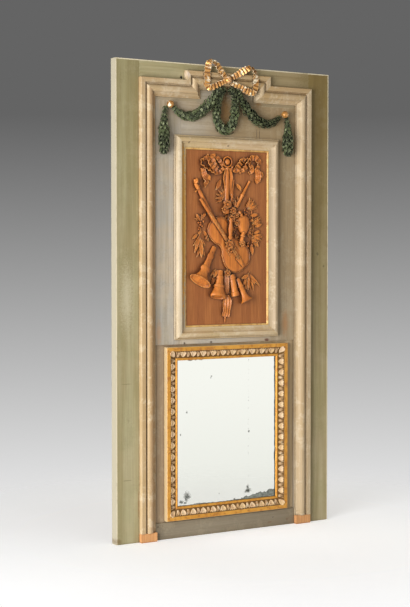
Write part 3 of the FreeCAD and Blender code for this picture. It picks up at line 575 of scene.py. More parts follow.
class EffectSheet(Sheet):
    """The sheet of a shared effect, a node group of plain numbers."""

    def __init__(self, name: str, inputs: dict[str, float], outputs: Sequence[str] = ("Mask",)) -> None:
        """Start the group.

        Args:
            name: Its name.
            inputs: Its inputs and their usual values.
            outputs: Its outputs.
        """
        super().__init__(bpy.data.node_groups.new(name, "ShaderNodeTree"))
        add_socket = self.tree.interface.new_socket
        for key, value in inputs.items():
            add_socket(key, in_out="INPUT", socket_type="NodeSocketFloat").default_value = value
        for key in outputs:
            add_socket(key, in_out="OUTPUT", socket_type="NodeSocketFloat")
        self.given = self.tree.nodes.new("NodeGroupInput").outputs
        self.target = self.tree.nodes.new("NodeGroupOutput")

    def give(self, value: Any, key: str = "Mask") -> None:
        """Send a value to an output."""
        self.feed(self.target.inputs[key], value)

class MaterialSheet(Sheet):
    """The sheet of a material with one Principled shader."""

    def __init__(self, name: str) -> None:
        """Start the material.

        Args:
            name: Its name.
        """
        self.material = bpy.data.materials.new(name)
        self.material.use_nodes = True
        super().__init__(self.material.node_tree)
        self.shader = self.tree.nodes["Principled BSDF"].inputs

    def surface(self, colour: Any, rough: Any, metal: Any = 0.0) -> None:
        """Give the shader its colour, roughness and metal share.

        Args:
            colour: The base colour.
            rough: The roughness.
            metal: The metal share.
        """
        self.feed(self.shader["Base Color"], colour)
        self.feed(self.shader["Roughness"], rough)
        self.feed(self.shader["Metallic"], metal)

    def bump(self, height: Any, strength: float, depth: float, soft: float = 0.0) -> None:
        """Give the shader its fine relief.

        Args:
            height: The height, from 0 to 1.
            strength: How much of it shows.
            depth: How deep it is.
            soft: The radius that rounds the piece's edges, if any.
        """
        values = {"Strength": strength, "Distance": depth, "Height": height}
        if soft:
            values["Normal"] = self.node("Bevel", {"Radius": soft}, samples=4).outputs[0]
        self.feed(self.shader["Normal"], self.node("Bump", values).outputs[0])

class Effects:
    """The shared effects: edge masks for abrasion and painted highlights, corner masks for grime and painted
    shade, patches, brush strokes, grain, cracks, blots and zones.
    """

    def build(self) -> None:
        """Make every shared node group once."""
        for make in (self.edge_wear_and_highlight, self.crevice_grime_and_shade, self.clouds, self.strokes, self.crackle, self.mark,
                     self.inset, self.within, self.drift, self.behind):
            make()

    def edge_wear_and_highlight(self) -> None:
        """Mask of outer and inner edges within a reach, broken up by noise: abrasion on paint, and painted
        highlights on the carving, the leaves and the bow.
        """
        sheet = EffectSheet("edge_wear_and_highlight", {"Reach": 2 * MM, "Breakup": 60.0})
        soft = sheet.node("Bevel", {"Radius": sheet.given["Reach"]}, samples=6).outputs[0]
        flat = sheet.node("NewGeometry").outputs["Normal"]
        match = sheet.node("VectorMath", {0: soft, 1: flat}, operation="DOT_PRODUCT").outputs["Value"]
        edge = sheet.span(sheet.less(1.0, match), 0.01, 0.22)
        rough = sheet.noise(sheet.place(), sheet.given["Breakup"], 5.0, 0.65)
        sheet.give(sheet.times(edge, sheet.span(rough, 0.34, 0.62)))

    def crevice_grime_and_shade(self) -> None:
        """Mask of corners and grooves, found by ambient occlusion, where grime and painted shade are laid.
        """
        sheet = EffectSheet("crevice_grime_and_shade", {"Reach": 12 * MM, "Full": 0.75})
        share = sheet.node("AmbientOcclusion", {"Distance": sheet.given["Reach"]}, samples=6).outputs["AO"]
        closed = sheet.span(sheet.less(1.0, share), 0.10, sheet.given["Full"])
        rough = sheet.noise(sheet.place(), 90.0, 5.0, 0.6)
        sheet.give(sheet.times(closed, sheet.span(rough, 0.2, 0.6, 0.55, 1.0)))

    def clouds(self) -> None:
        """Soft patches at two scales."""
        sheet = EffectSheet("clouds", {"Scale": 6.0})
        wide = sheet.noise(sheet.place(), sheet.given["Scale"], 3.0, 0.5)
        fine = sheet.noise(sheet.place(), sheet.times(sheet.given["Scale"], 5.0), 6.0, 0.65)
        sheet.give(sheet.span(sheet.plus(sheet.times(wide, 0.6), sheet.times(fine, 0.4)), 0.36, 0.64))

    def strokes(self) -> None:
        """Brush strokes and runs of paint, and the growth rings and pores of a board."""
        self.directed("streaks", 0.6, 0.0, 0.35, {"Mask": ((1.6, 30, 34), (34, 30, 1.3), 5.0),
                                                  "Fine": ((5, 90, 230), (230, 90, 4), 4.0)})
        self.directed("grain", 0.5, 0.6, 0.34, {"Rings": ((2.2, 20, 42), (42, 20, 1.6), 3.0),
                                                "Pores": ((14, 160, 420), (420, 160, 12), 2.0)})

    def directed(self, name: str, rough: float, twist: float, low: float,
                 rows: dict[str, tuple[Sequence[float], Sequence[float], float]]) -> None:
        """Make a group of drawn-out noises; its Upright is 1 for upright members and 0 for rails.

        Args:
            name: The group's name.
            rough: How strong the fine noise is.
            twist: Its distortion.
            low: The noise where its masks start.
            rows: For each output its stretch on rails, its stretch on uprights and its detail.
        """
        sheet = EffectSheet(name, {"Upright": 1.0}, tuple(rows))
        for key, (across, along, detail) in rows.items():
            first = sheet.noise(sheet.place(across), 1.0, detail, rough, twist)
            second = sheet.noise(sheet.place(along), 1.0, detail, rough, twist)
            made = sheet.node("Mix", {0: sheet.given["Upright"], 2: first, 3: second}, data_type="FLOAT")
            sheet.give(sheet.span(made.outputs[0], low, 0.66), key)

    def crackle(self) -> None:
        """Fine cracks in old paint and gesso."""
        sheet = EffectSheet("crackle", {"Scale": 120.0})
        cells = sheet.node("TexVoronoi", {"Vector": sheet.place(), "Scale": sheet.given["Scale"]},
                           feature="DISTANCE_TO_EDGE").outputs["Distance"]
        gaps = sheet.span(sheet.noise(sheet.place(), 9.0), 0.5, 0.66)
        sheet.give(sheet.times(sheet.less(1.0, sheet.span(cells, 0.0, 0.05)), gaps))

    def mark(self) -> None:
        """A round blot with a ragged rim, at a place X, Z of the front."""
        sheet = EffectSheet("mark", {"X": 0.0, "Z": 0.0, "Radius": 6 * MM, "Tall": 1.0, "Core": 0.55})
        axes, given = sheet.axes(), sheet.given
        off_x = sheet.less(axes["X"], given["X"])
        off_z = sheet.calc("DIVIDE", sheet.less(axes["Z"], given["Z"]), given["Tall"])
        reach = sheet.calc("SQRT", sheet.plus(sheet.times(off_x, off_x), sheet.times(off_z, off_z)))
        ragged = sheet.times(sheet.less(sheet.noise(sheet.place(), 160.0), 0.5), 1.3)
        share = sheet.plus(sheet.calc("DIVIDE", reach, given["Radius"]), ragged)
        sheet.give(sheet.less(1.0, sheet.span(share, given["Core"], 1.0)))

    def inset(self) -> None:
        """How far a place lies inside an upright rectangle that is centred on the panel."""
        sheet = EffectSheet("inset", {"Half width": 0.3, "Top": 1.0, "Bottom": 0.0}, ("Inset",))
        axes, given = sheet.axes(), sheet.given
        side = sheet.less(given["Half width"], sheet.calc("ABSOLUTE", axes["X"]))
        head = sheet.less(given["Top"], axes["Z"])
        foot = sheet.less(axes["Z"], given["Bottom"])
        sheet.give(sheet.calc("MINIMUM", side, sheet.calc("MINIMUM", head, foot)), "Inset")

    def within(self) -> None:
        """Mask of what lies below a level and within a half width of the panel's middle."""
        sheet = EffectSheet("within", {"Half width": 0.3, "Top": 1.0})
        axes, given = sheet.axes(), sheet.given
        side = sheet.calc("LESS_THAN", sheet.calc("ABSOLUTE", axes["X"]), given["Half width"])
        sheet.give(sheet.times(side, sheet.calc("LESS_THAN", axes["Z"], given["Top"])))

    def drift(self) -> None:
        """A slow change across the front: 0 where its sum of X and Z is 0, and 1 where it is 1."""
        sheet = EffectSheet("drift", {"Per x": 0.0, "Per z": 0.5, "Shift": 0.0})
        axes, given = sheet.axes(), sheet.given
        total = sheet.plus(sheet.times(axes["X"], given["Per x"]), sheet.times(axes["Z"], given["Per z"]))
        ragged = sheet.times(sheet.less(sheet.noise(sheet.place(), 5.0), 0.5), 0.5)
        sheet.give(sheet.span(sheet.plus(sheet.plus(total, given["Shift"]), ragged), 0.0, 1.0))

    def behind(self) -> None:
        """Mask of the faces that look at the wall."""
        sheet = EffectSheet("behind", {})
        facing = sheet.node("SeparateXYZ", {0: sheet.node("NewGeometry").outputs["Normal"]})
        sheet.give(sheet.span(facing.outputs["Y"], 0.4, 0.7))

# ---- finishes ----

class Run(Enum):
    """Which way the grain and the brush strokes of a member run."""

    UP = 1.0
    ACROSS = 0.0

@dataclass(frozen=True)
class Mark:
    """A blot at a place of the front, in millimetres, with a sharp rim or a soft one."""

    x: float
    z: float
    radius: float
    tall: float = 1.0
    colour: Colour = srgb(66, 46, 30)
    share: float = 0.85
    core: float = 0.55

    def lay(self, sheet: Sheet, colour: Any) -> Socket:
        """Lay the blot over a colour."""
        blot = sheet.mask("mark", x=self.x * MM, z=self.z * MM, radius=self.radius * MM, tall=self.tall,
                          core=self.core)
        return sheet.lay(colour, self.colour, blot, self.share)

@dataclass(frozen=True)
class Drift:
    """A slow change of a paint's colour from one place of the front towards another, in metres."""

    colour: Colour
    start: Place
    end: Place

    def lay(self, sheet: Sheet, colour: Any) -> Socket:
        """Turn a colour towards the drift's colour.

        Args:
            sheet: The material's sheet.
            colour: The colour where the change starts.

        Returns:
            The changing colour.
        """
        across, up = self.end[0] - self.start[0], self.end[1] - self.start[1]
        square = across * across + up * up
        shift = -(self.start[0] * across + self.start[1] * up) / square
        mask = sheet.mask("drift", per_x=across / square, per_z=up / square, shift=shift)
        return sheet.mix(mask, colour, self.colour)

@dataclass(frozen=True)
class AgedPaint:
    """Old matt paint on wood: brushed, patchy, darker in its corners from grime and painted shade, and
    abraded at its edges.
    """

    name: str
    colour: Colour
    faded: Colour
    shade: Colour
    worn_and_highlight: Colour
    dirt_and_shade: Colour
    run: Run = Run.UP
    wear_reach: float = 2.2 * MM
    dirt_and_shade_reach: float = 10 * MM
    dirt_and_shade_share: float = 0.85
    blotches: float = 0.16
    gloss: float = 0.55
    rim: float = 0.0
    side: Colour = srgb(178, 170, 148)
    drift: Drift | None = None
    inner: tuple[Colour, Colour] | None = None
    marks: tuple[Mark, ...] = ()

    def coat(self, sheet: Sheet, streaks: Any, small: Any) -> Socket:
        """Brush on the coat, with its patches, its streaks and its second colour inside the moulding.

        Args:
            sheet: The material's sheet.
            streaks: The outputs of the streaks effect.
            small: Small patches.

        Returns:
            The coat's colour.
        """
        first, second = self.colour, self.faded
        if self.inner:
            zone = sheet.most(sheet.mask("within", half_width=390 * MM, top=1890 * MM),
                              sheet.mask("within", half_width=170 * MM, top=1930 * MM))
            first = sheet.mix(zone, first, self.inner[0])
            second = sheet.mix(zone, second, self.inner[1])
        colour = sheet.mix(sheet.mask("clouds", scale=4.5), first, second)
        if self.drift:
            colour = self.drift.lay(sheet, colour)
        shaded = sheet.mix(1.0, colour, self.shade, "MULTIPLY")
        colour = sheet.lay(colour, shaded, streaks["Mask"], 0.6)
        colour = sheet.lay(colour, self.dirt_and_shade, streaks["Fine"], 0.2)
        return sheet.lay(colour, self.worn_and_highlight, sheet.span(small, 0.55, 1.0), self.blotches)

    def age(self, sheet: Sheet, colour: Any, cracks: Any) -> Socket:
        """Lay cracks, abraded edges, grime and painted shade in the corners, and single marks over the coat.

        Args:
            sheet: The material's sheet.
            colour: The coat's colour.
            cracks: The mask of its cracks.

        Returns:
            The aged colour.
        """
        colour = sheet.lay(colour, self.dirt_and_shade, cracks, 0.3)
        rubbed_and_highlight = sheet.mask("edge_wear_and_highlight", reach=self.wear_reach, breakup=55.0)
        colour = sheet.lay(colour, self.worn_and_highlight, rubbed_and_highlight, 0.7)
        # Corners and grooves are darkened: grime, and painted shade where shade falls.
        colour = sheet.lay(colour, self.dirt_and_shade, sheet.mask("crevice_grime_and_shade", reach=self.dirt_and_shade_reach), self.dirt_and_shade_share)
        if self.rim:
            inset = sheet.mask("inset", half_width=PANEL_HALF_WIDTH, top=PANEL_TOP, bottom=-1.0)
            broken = sheet.span(sheet.noise(sheet.place(), 34.0), 0.25, 0.5, 0.55, 1.0)
            bare = sheet.times(sheet.span(inset, self.rim * 1.4, self.rim * 0.7), broken)
            colour = sheet.mix(bare, colour, self.worn_and_highlight)
            colour = sheet.mix(sheet.span(inset, 1.0 * MM, 0.5 * MM), colour, self.side)
        for mark in self.marks:
            colour = mark.lay(sheet, colour)
        return colour

    def unpainted(self, sheet: Sheet, colour: Any, grain: Any) -> Socket:
        """Leave the wood bare where the piece faces the wall.

        Args:
            sheet: The material's sheet.
            colour: The painted colour.
            grain: The outputs of the grain effect.

        Returns:
            The colour of both.
        """
        wood = sheet.mix(grain["Rings"], srgb(196, 158, 114), srgb(158, 120, 82))
        wood = sheet.lay(wood, srgb(84, 60, 40), grain["Pores"], 0.4)
        return sheet.mix(sheet.mask("behind"), colour, wood)

    def build(self) -> bpy.types.Material:
        """Make the material.

        Returns:
            The material.
        """
        sheet = MaterialSheet(self.name)
        small = sheet.mask("clouds", scale=19.0)
        streaks = sheet.effect("streaks", upright=self.run.value)
        grain = sheet.effect("grain", upright=self.run.value)
        cracks = sheet.mask("crackle", scale=70.0)
        colour = self.age(sheet, self.coat(sheet, streaks, small), cracks)
        sheet.surface(self.unpainted(sheet, colour, grain), sheet.plus(sheet.times(small, 0.18), self.gloss))
        relief = sheet.plus(sheet.times(grain["Pores"], 0.5), sheet.times(streaks["Fine"], 0.5))
        sheet.bump(sheet.less(relief, sheet.times(cracks, 0.8)), 0.22, 0.6 * MM, soft=1.2 * MM)
        return sheet.material

@dataclass(frozen=True)
class WaxedWood:
    """Carved or plain wood under old wax: grain, light edges that are painted highlights as well as
    abrasion, and hollows darkened with painted shade and dark wax.
    """

    name: str
    light: Colour
    deep: Colour
    hollow: Colour
    run: Run = Run.UP
    hollow_reach: float = 9 * MM
    line_reach: float = 4 * MM
    hollow_share: float = 0.9
    hollow_full: float = 0.75
    gloss: float = 0.42
    wear_and_highlight: float = 0.35
    worn_and_highlight: Colour | None = None

    def build(self) -> bpy.types.Material:
        """Make the material.

        Returns:
            The material.
        """
        sheet = MaterialSheet(self.name)
        grain = sheet.effect("grain", upright=self.run.value)
        colour = sheet.lay(self.light, self.deep, grain["Rings"], 0.75)
        colour = sheet.lay(colour, self.hollow, grain["Pores"], 0.3)
        colour = sheet.lay(colour, self.deep, sheet.mask("clouds", scale=9.0), 0.35)
        # Light edges: painted highlights, as well as abrasion of the wax.
        edges = sheet.mask("edge_wear_and_highlight", reach=2 * MM, breakup=90.0)
        colour = sheet.lay(colour, self.worn_and_highlight or self.light, edges, self.wear_and_highlight)
        # Hollows darkened at a wide and a fine reach: painted shade, with dark wax.
        for reach, full in ((self.hollow_reach, self.hollow_full), (self.line_reach, 0.6)):
            dark = sheet.mask("crevice_grime_and_shade", reach=reach, full=full)
            colour = sheet.lay(colour, self.hollow, dark, self.hollow_share)
        sheet.surface(colour, sheet.plus(sheet.times(grain["Pores"], 0.2), self.gloss))
        sheet.bump(grain["Pores"], 0.3, 0.5 * MM)
        return sheet.material

@dataclass(frozen=True)
class Gilding:
    """Old water gilding: gold leaf abraded through to red bole and pale gesso, darkened in its grooves with
    painted shade and grime; the pale specks and edges of some finishes are painted highlights.
    """

    name: str
    gold: Colour
    deep: Colour
    bole: Colour
    gesso: Colour
    groove_grime_and_shade: Colour
    rubbed_and_highlight: float = 0.5
    pale: float = 0.0
    metal: float = 0.7
    gloss: float = 0.34
    groove_grime_and_shade_reach: float = 7 * MM
    edge_reach: float = 1.6 * MM
    highlight_flecks: float = 0.0
    framed: bool = False

    def zones(self, sheet: Sheet) -> tuple[Any, Any]:
        """Find the mirror frame's carved slope, darkened with painted shade between the hearts and darts,
        and its bare outer sides.

        Args:
            sheet: The material's sheet.

        Returns:
            Their two masks.
        """
        if not self.framed:
            return 0.0, 0.0
        inset = sheet.mask("inset", half_width=FRAME_HALF_WIDTH, top=FRAME_TOP, bottom=FRAME_BOTTOM)
        foot = FRAME_MEMBER - FRAME_FILLET
        slope = sheet.times(sheet.span(inset, FRAME_BAND - MM, FRAME_BAND + MM),
                            sheet.span(inset, foot + MM, foot - MM))
        return slope, sheet.span(inset, 2.2 * MM, 0.8 * MM)

    def build(self) -> bpy.types.Material:
        """Make the material.

        Returns:
            The material.
        """
        sheet = MaterialSheet(self.name)
        wide = sheet.mask("clouds", scale=14.0)
        fine = sheet.mask("clouds", scale=60.0)
        slope, sides = self.zones(sheet)
        colour = sheet.mix(wide, self.gold, self.deep)
        colour = sheet.lay(colour, self.bole, sheet.span(fine, 0.72 - self.rubbed_and_highlight * 0.3, 1.0), 0.6)
        # The carved slope is darkened: painted shade between the hearts and darts.
        colour = sheet.lay(colour, self.groove_grime_and_shade, slope, 0.8)
        # Pale edges: abraded gilding, and on the bow painted highlights along the flute crests.
        edges = sheet.mask("edge_wear_and_highlight", reach=self.edge_reach, breakup=110.0)
        faded = sheet.times(sheet.span(wide, 0.15, 0.8), self.pale)
        bare = sheet.most(sheet.times(edges, self.rubbed_and_highlight), faded)
        bare = sheet.most(bare, sheet.times(sides, 0.9))
        # Pale specks of gesso: painted highlights.
        if self.highlight_flecks:
            patches = sheet.span(sheet.noise(sheet.place(), 34.0, 2.0), 0.56, 0.64)
            bare = sheet.most(bare, sheet.times(patches, self.highlight_flecks))
        colour = sheet.mix(bare, colour, self.gesso)
        # Grooves darkened: painted shade, with grime.
        corners = sheet.mask("crevice_grime_and_shade", reach=self.groove_grime_and_shade_reach)
        colour = sheet.lay(colour, self.groove_grime_and_shade, corners, 0.85)
        dull = sheet.most(sheet.most(bare, slope), corners)
        sheet.surface(colour, sheet.span(dull, 0.0, 1.0, self.gloss, 0.8),
                      sheet.times(sheet.less(1.0, dull), self.metal))
        sheet.bump(sheet.less(fine, sheet.mask("crackle", scale=180.0)), 0.2, 0.4 * MM, soft=0.8 * MM)
        return sheet.material

@dataclass(frozen=True)
class LeafPaint:
    """Green painted leaves: painted shade in the spaces between them, and painted highlights with some
    abrasion on their crowns.
    """

    name: str = "garland_green_paint"
    leaf: Colour = srgb(86, 96, 60)
    dark: Colour = srgb(30, 38, 20)
    rubbed_and_highlight: Colour = srgb(176, 182, 142)
    gap_shade: Colour = srgb(12, 14, 7)

    def build(self) -> bpy.types.Material:
        """Make the material.

        Returns:
            The material.
        """
        sheet = MaterialSheet(self.name)
        fine = sheet.mask("clouds", scale=90.0)
        colour = sheet.mix(sheet.mask("clouds", scale=26.0), self.leaf, self.dark)
        edges = sheet.mask("edge_wear_and_highlight", reach=1.4 * MM, breakup=80.0)
        # Pale crowns and specks: painted highlights, with some abrasion.
        rub_and_highlight = sheet.most(sheet.times(edges, 0.55), sheet.times(sheet.span(fine, 0.66, 1.0), 0.65))
        colour = sheet.mix(rub_and_highlight, colour, self.rubbed_and_highlight)
        # Near-black between the leaves: painted shade.
        colour = sheet.lay(colour, self.gap_shade, sheet.mask("crevice_grime_and_shade", reach=13 * MM, full=0.5), 0.98)
        sheet.surface(colour, sheet.span(fine, 0.0, 1.0, 0.55, 0.8))
        sheet.feed(sheet.shader["Specular IOR Level"], 0.3)
        sheet.bump(fine, 0.3, 0.5 * MM)
        return sheet.material

@dataclass(frozen=True)
class OldMirror:
    """Silvered glass with foxing: grey clouds along the foot, dark spots and a haze at the edges, and a dark
    band of painted shadow along its right and lower rims.
    """

    name: str = "old_mirror_glass"
    silver: Colour = srgb(247, 248, 244)
    haze: Colour = srgb(206, 210, 204)
    tarnish: Colour = srgb(70, 74, 68)
    cloudy: Colour = srgb(140, 146, 136)
    spots: tuple[tuple[float, float, float, float], ...] = (
        (-203, 175, 20, 1.2), (-192, 170, 12, 0.8), (-206, 160, 10, 1.4), (-230, 151, 14, 0.8),
        (-212, 146, 12, 0.5), (107, 175, 17, 0.55), (110, 430, 7, 1.0), (-203, 531, 5, 1.6),
        (-80, 679, 7, 0.5), (-84, 672, 4, 1.0), (-234, 437, 4, 1.8), (-42, 172, 3, 1.0), (36, 140, 9, 0.6),
        (-150, 138, 30, 0.12), (-186, 751, 16, 0.25), (-160, 752, 9, 0.35), (-132, 751, 12, 0.25),
        (104, 170, 22, 0.6), (104, 186, 9, 1.6))
    cloud_start: float = 35 * MM
    cloud_rise: float = 0.16
    foot: float = 127 * MM
    reach: float = 262 * MM
    trail: float = 108 * MM
    # Where the band of painted shadow along the right and lower rims starts.
    right_rim: float = FRAME_HALF_WIDTH - FRAME_MEMBER - 6 * MM
    foot_rim: float = FRAME_BOTTOM + FRAME_MEMBER + 3 * MM

    def cloud(self, sheet: Sheet, axes: Any, ragged: Any, fine: Any) -> Socket:
        """Find the grey cloud along the foot, which rises to the right.

        Args:
            sheet: The material's sheet.
            axes: X, Y and Z of the place.
            ragged: Coarse noise.
            fine: Fine noise.

        Returns:
            Its mask.
        """
        rising = sheet.times(sheet.less(axes["X"], self.cloud_start), self.cloud_rise)
        height = sheet.less(sheet.less(axes["Z"], self.foot), rising)
        cloud = sheet.plus(sheet.times(height, -40.0), sheet.times(ragged, 2.0))
        return sheet.times(sheet.span(cloud, 0.62, 0.85), sheet.span(fine, 0.3, 0.6, 0.5, 1.0))

    def spotting(self, sheet: Sheet, axes: Any, ragged: Any, fine: Any) -> Socket:
        """Find the specks, the dotted trail and the spots where the silver has failed, and the band of
        painted shadow along the right and lower rims.

        Args:
            sheet: The material's sheet.
            axes: X, Y and Z of the place.
            ragged: Coarse noise.
            fine: Fine noise.

        Returns:
            Their mask.
        """
        specks = sheet.times(sheet.span(fine, 0.71, 0.76), sheet.span(ragged, 0.5, 0.6))
        off_trail = sheet.calc("ABSOLUTE", sheet.less(axes["X"], self.trail))
        near_trail = sheet.less(1.0, sheet.span(off_trail, 0.0, 5 * MM))
        dotted = sheet.times(near_trail, sheet.span(fine, 0.56, 0.66))
        dark = sheet.most(specks, sheet.times(dotted, 0.6))
        for x, z, radius, tall in self.spots:
            spot = sheet.mask("mark", x=x * MM, z=z * MM, radius=radius * MM, tall=tall, core=0.2)
            dark = sheet.most(dark, spot)
        dark = sheet.times(dark, sheet.span(fine, 0.25, 0.6, 0.55, 1.0))
        # A dark wavy band along the right and lower rims: painted shadow of the rebate.
        jitter = sheet.times(sheet.less(ragged, 0.5), 14 * MM)
        right = sheet.less(sheet.plus(axes["X"], jitter), self.right_rim)
        foot = sheet.less(self.foot_rim, sheet.plus(axes["Z"], jitter))
        rim = sheet.most(sheet.span(right, -MM, MM), sheet.span(foot, -MM, MM))
        return sheet.most(dark, sheet.times(rim, 0.95))

    def haze_mask(self, sheet: Sheet, axes: Any, ragged: Any) -> Socket:
        """Find the haze near the sides and the foot.

        Args:
            sheet: The material's sheet.
            axes: X, Y and Z of the place.
            ragged: Coarse noise.

        Returns:
            Its mask.
        """
        past = sheet.times(sheet.less(sheet.calc("ABSOLUTE", axes["X"]), self.reach), 26.0)
        side = sheet.times(sheet.span(sheet.plus(past, sheet.times(ragged, 1.5)), 0.55, 1.1), 0.55)
        return sheet.most(side, sheet.times(sheet.span(axes["Z"], 0.75, 0.10), 0.3))

    def build(self) -> bpy.types.Material:
        """Make the material.

        Returns:
            The material.
        """
        sheet = MaterialSheet(self.name)
        axes = sheet.axes()
        ragged = sheet.noise(sheet.place(), 26.0, 6.0, 0.62)
        fine = sheet.noise(sheet.place(), 130.0, 5.0, 0.7)
        cloud = self.cloud(sheet, axes, ragged, fine)
        dark = self.spotting(sheet, axes, ragged, fine)
        colour = sheet.mix(self.haze_mask(sheet, axes, ragged), self.silver, self.haze)
        colour = sheet.mix(cloud, colour, sheet.mix(sheet.span(fine, 0.36, 0.5), self.tarnish, self.cloudy))
        outline = sheet.times(cloud, sheet.less(1.0, cloud))
        colour = sheet.lay(colour, self.tarnish, outline, 3.6)
        colour = sheet.mix(dark, colour, self.tarnish)
        gone_and_shadowed = sheet.most(dark, cloud)
        sheet.surface(colour, sheet.span(gone_and_shadowed, 0.0, 1.0, 0.03, 0.6), sheet.span(gone_and_shadowed, 0.0, 1.0, 1.0, 0.35))
        return sheet.material

@dataclass(frozen=True)
class OldIron:
    """Dark hand-made iron with a little rust."""

    name: str = "old_iron"
    dark: Colour = srgb(58, 54, 50)
    rust: Colour = srgb(104, 66, 42)

    def build(self) -> bpy.types.Material:
        """Make the material.

        Returns:
            The material.
        """
        sheet = MaterialSheet(self.name)
        clouds = sheet.mask("clouds", scale=45.0)
        sheet.surface(sheet.mix(clouds, self.dark, self.rust), sheet.span(clouds, 0.0, 1.0, 0.45, 0.85),
                      sheet.span(clouds, 0.0, 1.0, 0.8, 0.2))
        sheet.bump(clouds, 0.4, 0.4 * MM)
        return sheet.material

class Finishes:
    """Every material of the trumeau, built once."""

    def __init__(self) -> None:
        """Make the materials."""
        finishes = self.paints() + self.woods() + self.gildings() + (LeafPaint(), OldMirror(), OldIron())
        self.made = {finish.name: finish.build() for finish in finishes}

    def __getitem__(self, name: str) -> bpy.types.Material:
        """The material of that name."""
        return self.made[name]

    def paints(self) -> tuple[AgedPaint, ...]:
        """Every painted finish: green outside the moulding, grey inside it, cream on it."""
        grey = AgedPaint("grey_paint", srgb(194, 179, 158), srgb(182, 177, 168), srgb(222, 214, 196),
                         srgb(206, 194, 170), srgb(92, 74, 48))
        return self.green_paints(grey) + self.grey_paints(grey) + self.cream_paints()

    def brown_patches(self) -> tuple[Mark, ...]:
        """The brown patches under the top moulding."""
        brown_tone = srgb(140, 106, 62)
        return (Mark(-16, 1810, 50, 2.4, brown_tone, 0.95, 0.2), Mark(160, 1850, 30, 0.8, brown_tone, 0.8, 0.1))

    def green_paints(self, grey: AgedPaint) -> tuple[AgedPaint, ...]:
        """Mix the green of the outer boards.

        Args:
            grey: The paint of the field, which the top rail shows inside the moulding.

        Returns:
            The finishes of the left stile, the right stile and the top rail.
        """
        green = AgedPaint("green_paint", srgb(176, 166, 130), srgb(166, 160, 122), srgb(208, 198, 168),
                          srgb(226, 214, 186), srgb(98, 84, 52), rim=4 * MM, blotches=0.05)
        crack, spot = srgb(116, 108, 72), srgb(70, 58, 30)
        # The first left mark is painted light: a paler patch, a pool of light, on the middle of the stile.
        left_marks = (Mark(-486, 1020, 46, 4.5, srgb(196, 187, 160), 0.6, 0.0),
                      Mark(-488, 664, 26, 0.10, crack, 0.6, 0.6), Mark(-484, 264, 26, 0.10, crack, 0.6, 0.6),
                      Mark(-528, 14, 22, 0.8, srgb(110, 84, 48), 0.6, 0.1),
                      Mark(-432, 160, 5, 18.0, srgb(136, 92, 50), 0.5, 0.1))
        right_marks = (Mark(478, 1200, 8, 1.4, spot, 0.6, 0.2), Mark(512, 1146, 6, 1.6, spot, 0.6, 0.2))
        rail_marks = (Mark(424, 1966, 96, 0.8, srgb(122, 106, 64), 0.75, 0.0),
                      Mark(-226.5, 1938.8, 8, 1.0, srgb(20, 14, 10), 1.0), Mark(130.8, 1867, 2.2, 7.0))
        return (
            replace(green, name="left_green_paint", colour=srgb(168, 158, 124), faded=srgb(160, 154, 118),
                    drift=Drift(srgb(150, 142, 104), (0.0, 1.0), (0.0, 1.95)), marks=left_marks),
            replace(green, name="right_green_paint", colour=srgb(188, 174, 140), faded=srgb(178, 168, 128),
                    drift=Drift(srgb(126, 106, 56), (0.0, 0.1), (0.0, 2.2)), marks=right_marks),
            replace(green, name="green_paint_rail", run=Run.ACROSS, inner=(grey.colour, grey.faded),
                    drift=Drift(srgb(160, 142, 106), (-0.4, 1.9), (0.5, 1.9)),
                    marks=rail_marks + self.brown_patches()))

    def grey_paints(self, grey: AgedPaint) -> tuple[AgedPaint, ...]:
        """Mix the grey of the field boards, the mirror recess and the foot.

        Args:
            grey: The plain grey paint.

        Returns:
            The finishes of the side boards, the upper boards, the foot rail and the recess.
        """
        drift = Drift(srgb(170, 148, 114), (-0.2, 1.0), (0.40, 1.2))
        side_marks = (Mark(-335, 868, 20, 4.0, srgb(186, 138, 92), 0.5, 0.1),
                      Mark(302.8, 896, 26, 3.0, srgb(176, 122, 70), 0.6, 0.1),
                      Mark(270.2, 1213, 6, 1.0, share=0.6),
                      Mark(-300, 1760, 60, 1.2, srgb(152, 152, 128), 0.3, 0.1))
        field_marks = (
            Mark(152.2, 1716, 2.2, 14.0, share=0.6), Mark(166.2, 1716, 2.2, 14.0, share=0.6),
            Mark(-300, 1850, 36, 1.0, srgb(150, 158, 128), 0.6, 0.2),
            Mark(-226.4, 826, 2.2, 6.0, share=0.7), Mark(-210.8, 823, 6, 1.0), Mark(-79.7, 824.6, 8, 0.6),
            Mark(-44.6, 815, 5, 1.0), Mark(205, 823.5, 16, 0.7, srgb(96, 52, 40), 0.9, 0.3))
        foot_marks = (Mark(316, 24, 12, 0.6, srgb(110, 84, 60), 0.7, 0.2), Mark(-340, 56, 4, 1.0),
                      Mark(240, 40, 6, 0.5, share=0.6), Mark(225, 20, 20, 0.3, srgb(120, 92, 66), 0.7, 0.2))
        return (
            replace(grey, name="grey_paint_upright", drift=drift, marks=side_marks),
            replace(grey, name="grey_paint_rail", colour=srgb(202, 188, 168), faded=srgb(190, 184, 174),
                    run=Run.ACROSS, drift=drift, marks=self.brown_patches() + field_marks, dirt_and_shade_share=0.55),
            replace(grey, name="foot_grey_paint", colour=srgb(144, 133, 113), faded=srgb(136, 125, 106),
                    worn_and_highlight=srgb(190, 178, 152), run=Run.ACROSS, marks=foot_marks),
            # The recess's drift is painted light, darker at its left and lighter at its right; its mark is a
            # painted shadow line along the moulding's inner edge, with grime in the joint.
            replace(grey, name="recess_grey_paint", colour=srgb(169, 149, 126), faded=srgb(163, 143, 119),
                    drift=Drift(srgb(204, 182, 148), (-0.30, 0.4), (0.33, 0.4)),
                    marks=(Mark(347.5, 440, 2.5, 150.0, srgb(66, 48, 26), 0.85, 0.0),)))

    def cream_paints(self) -> tuple[AgedPaint, ...]:
        """Mix the creams of the moulding and of the relief's frame.

        Returns:
            Their finishes.
        """
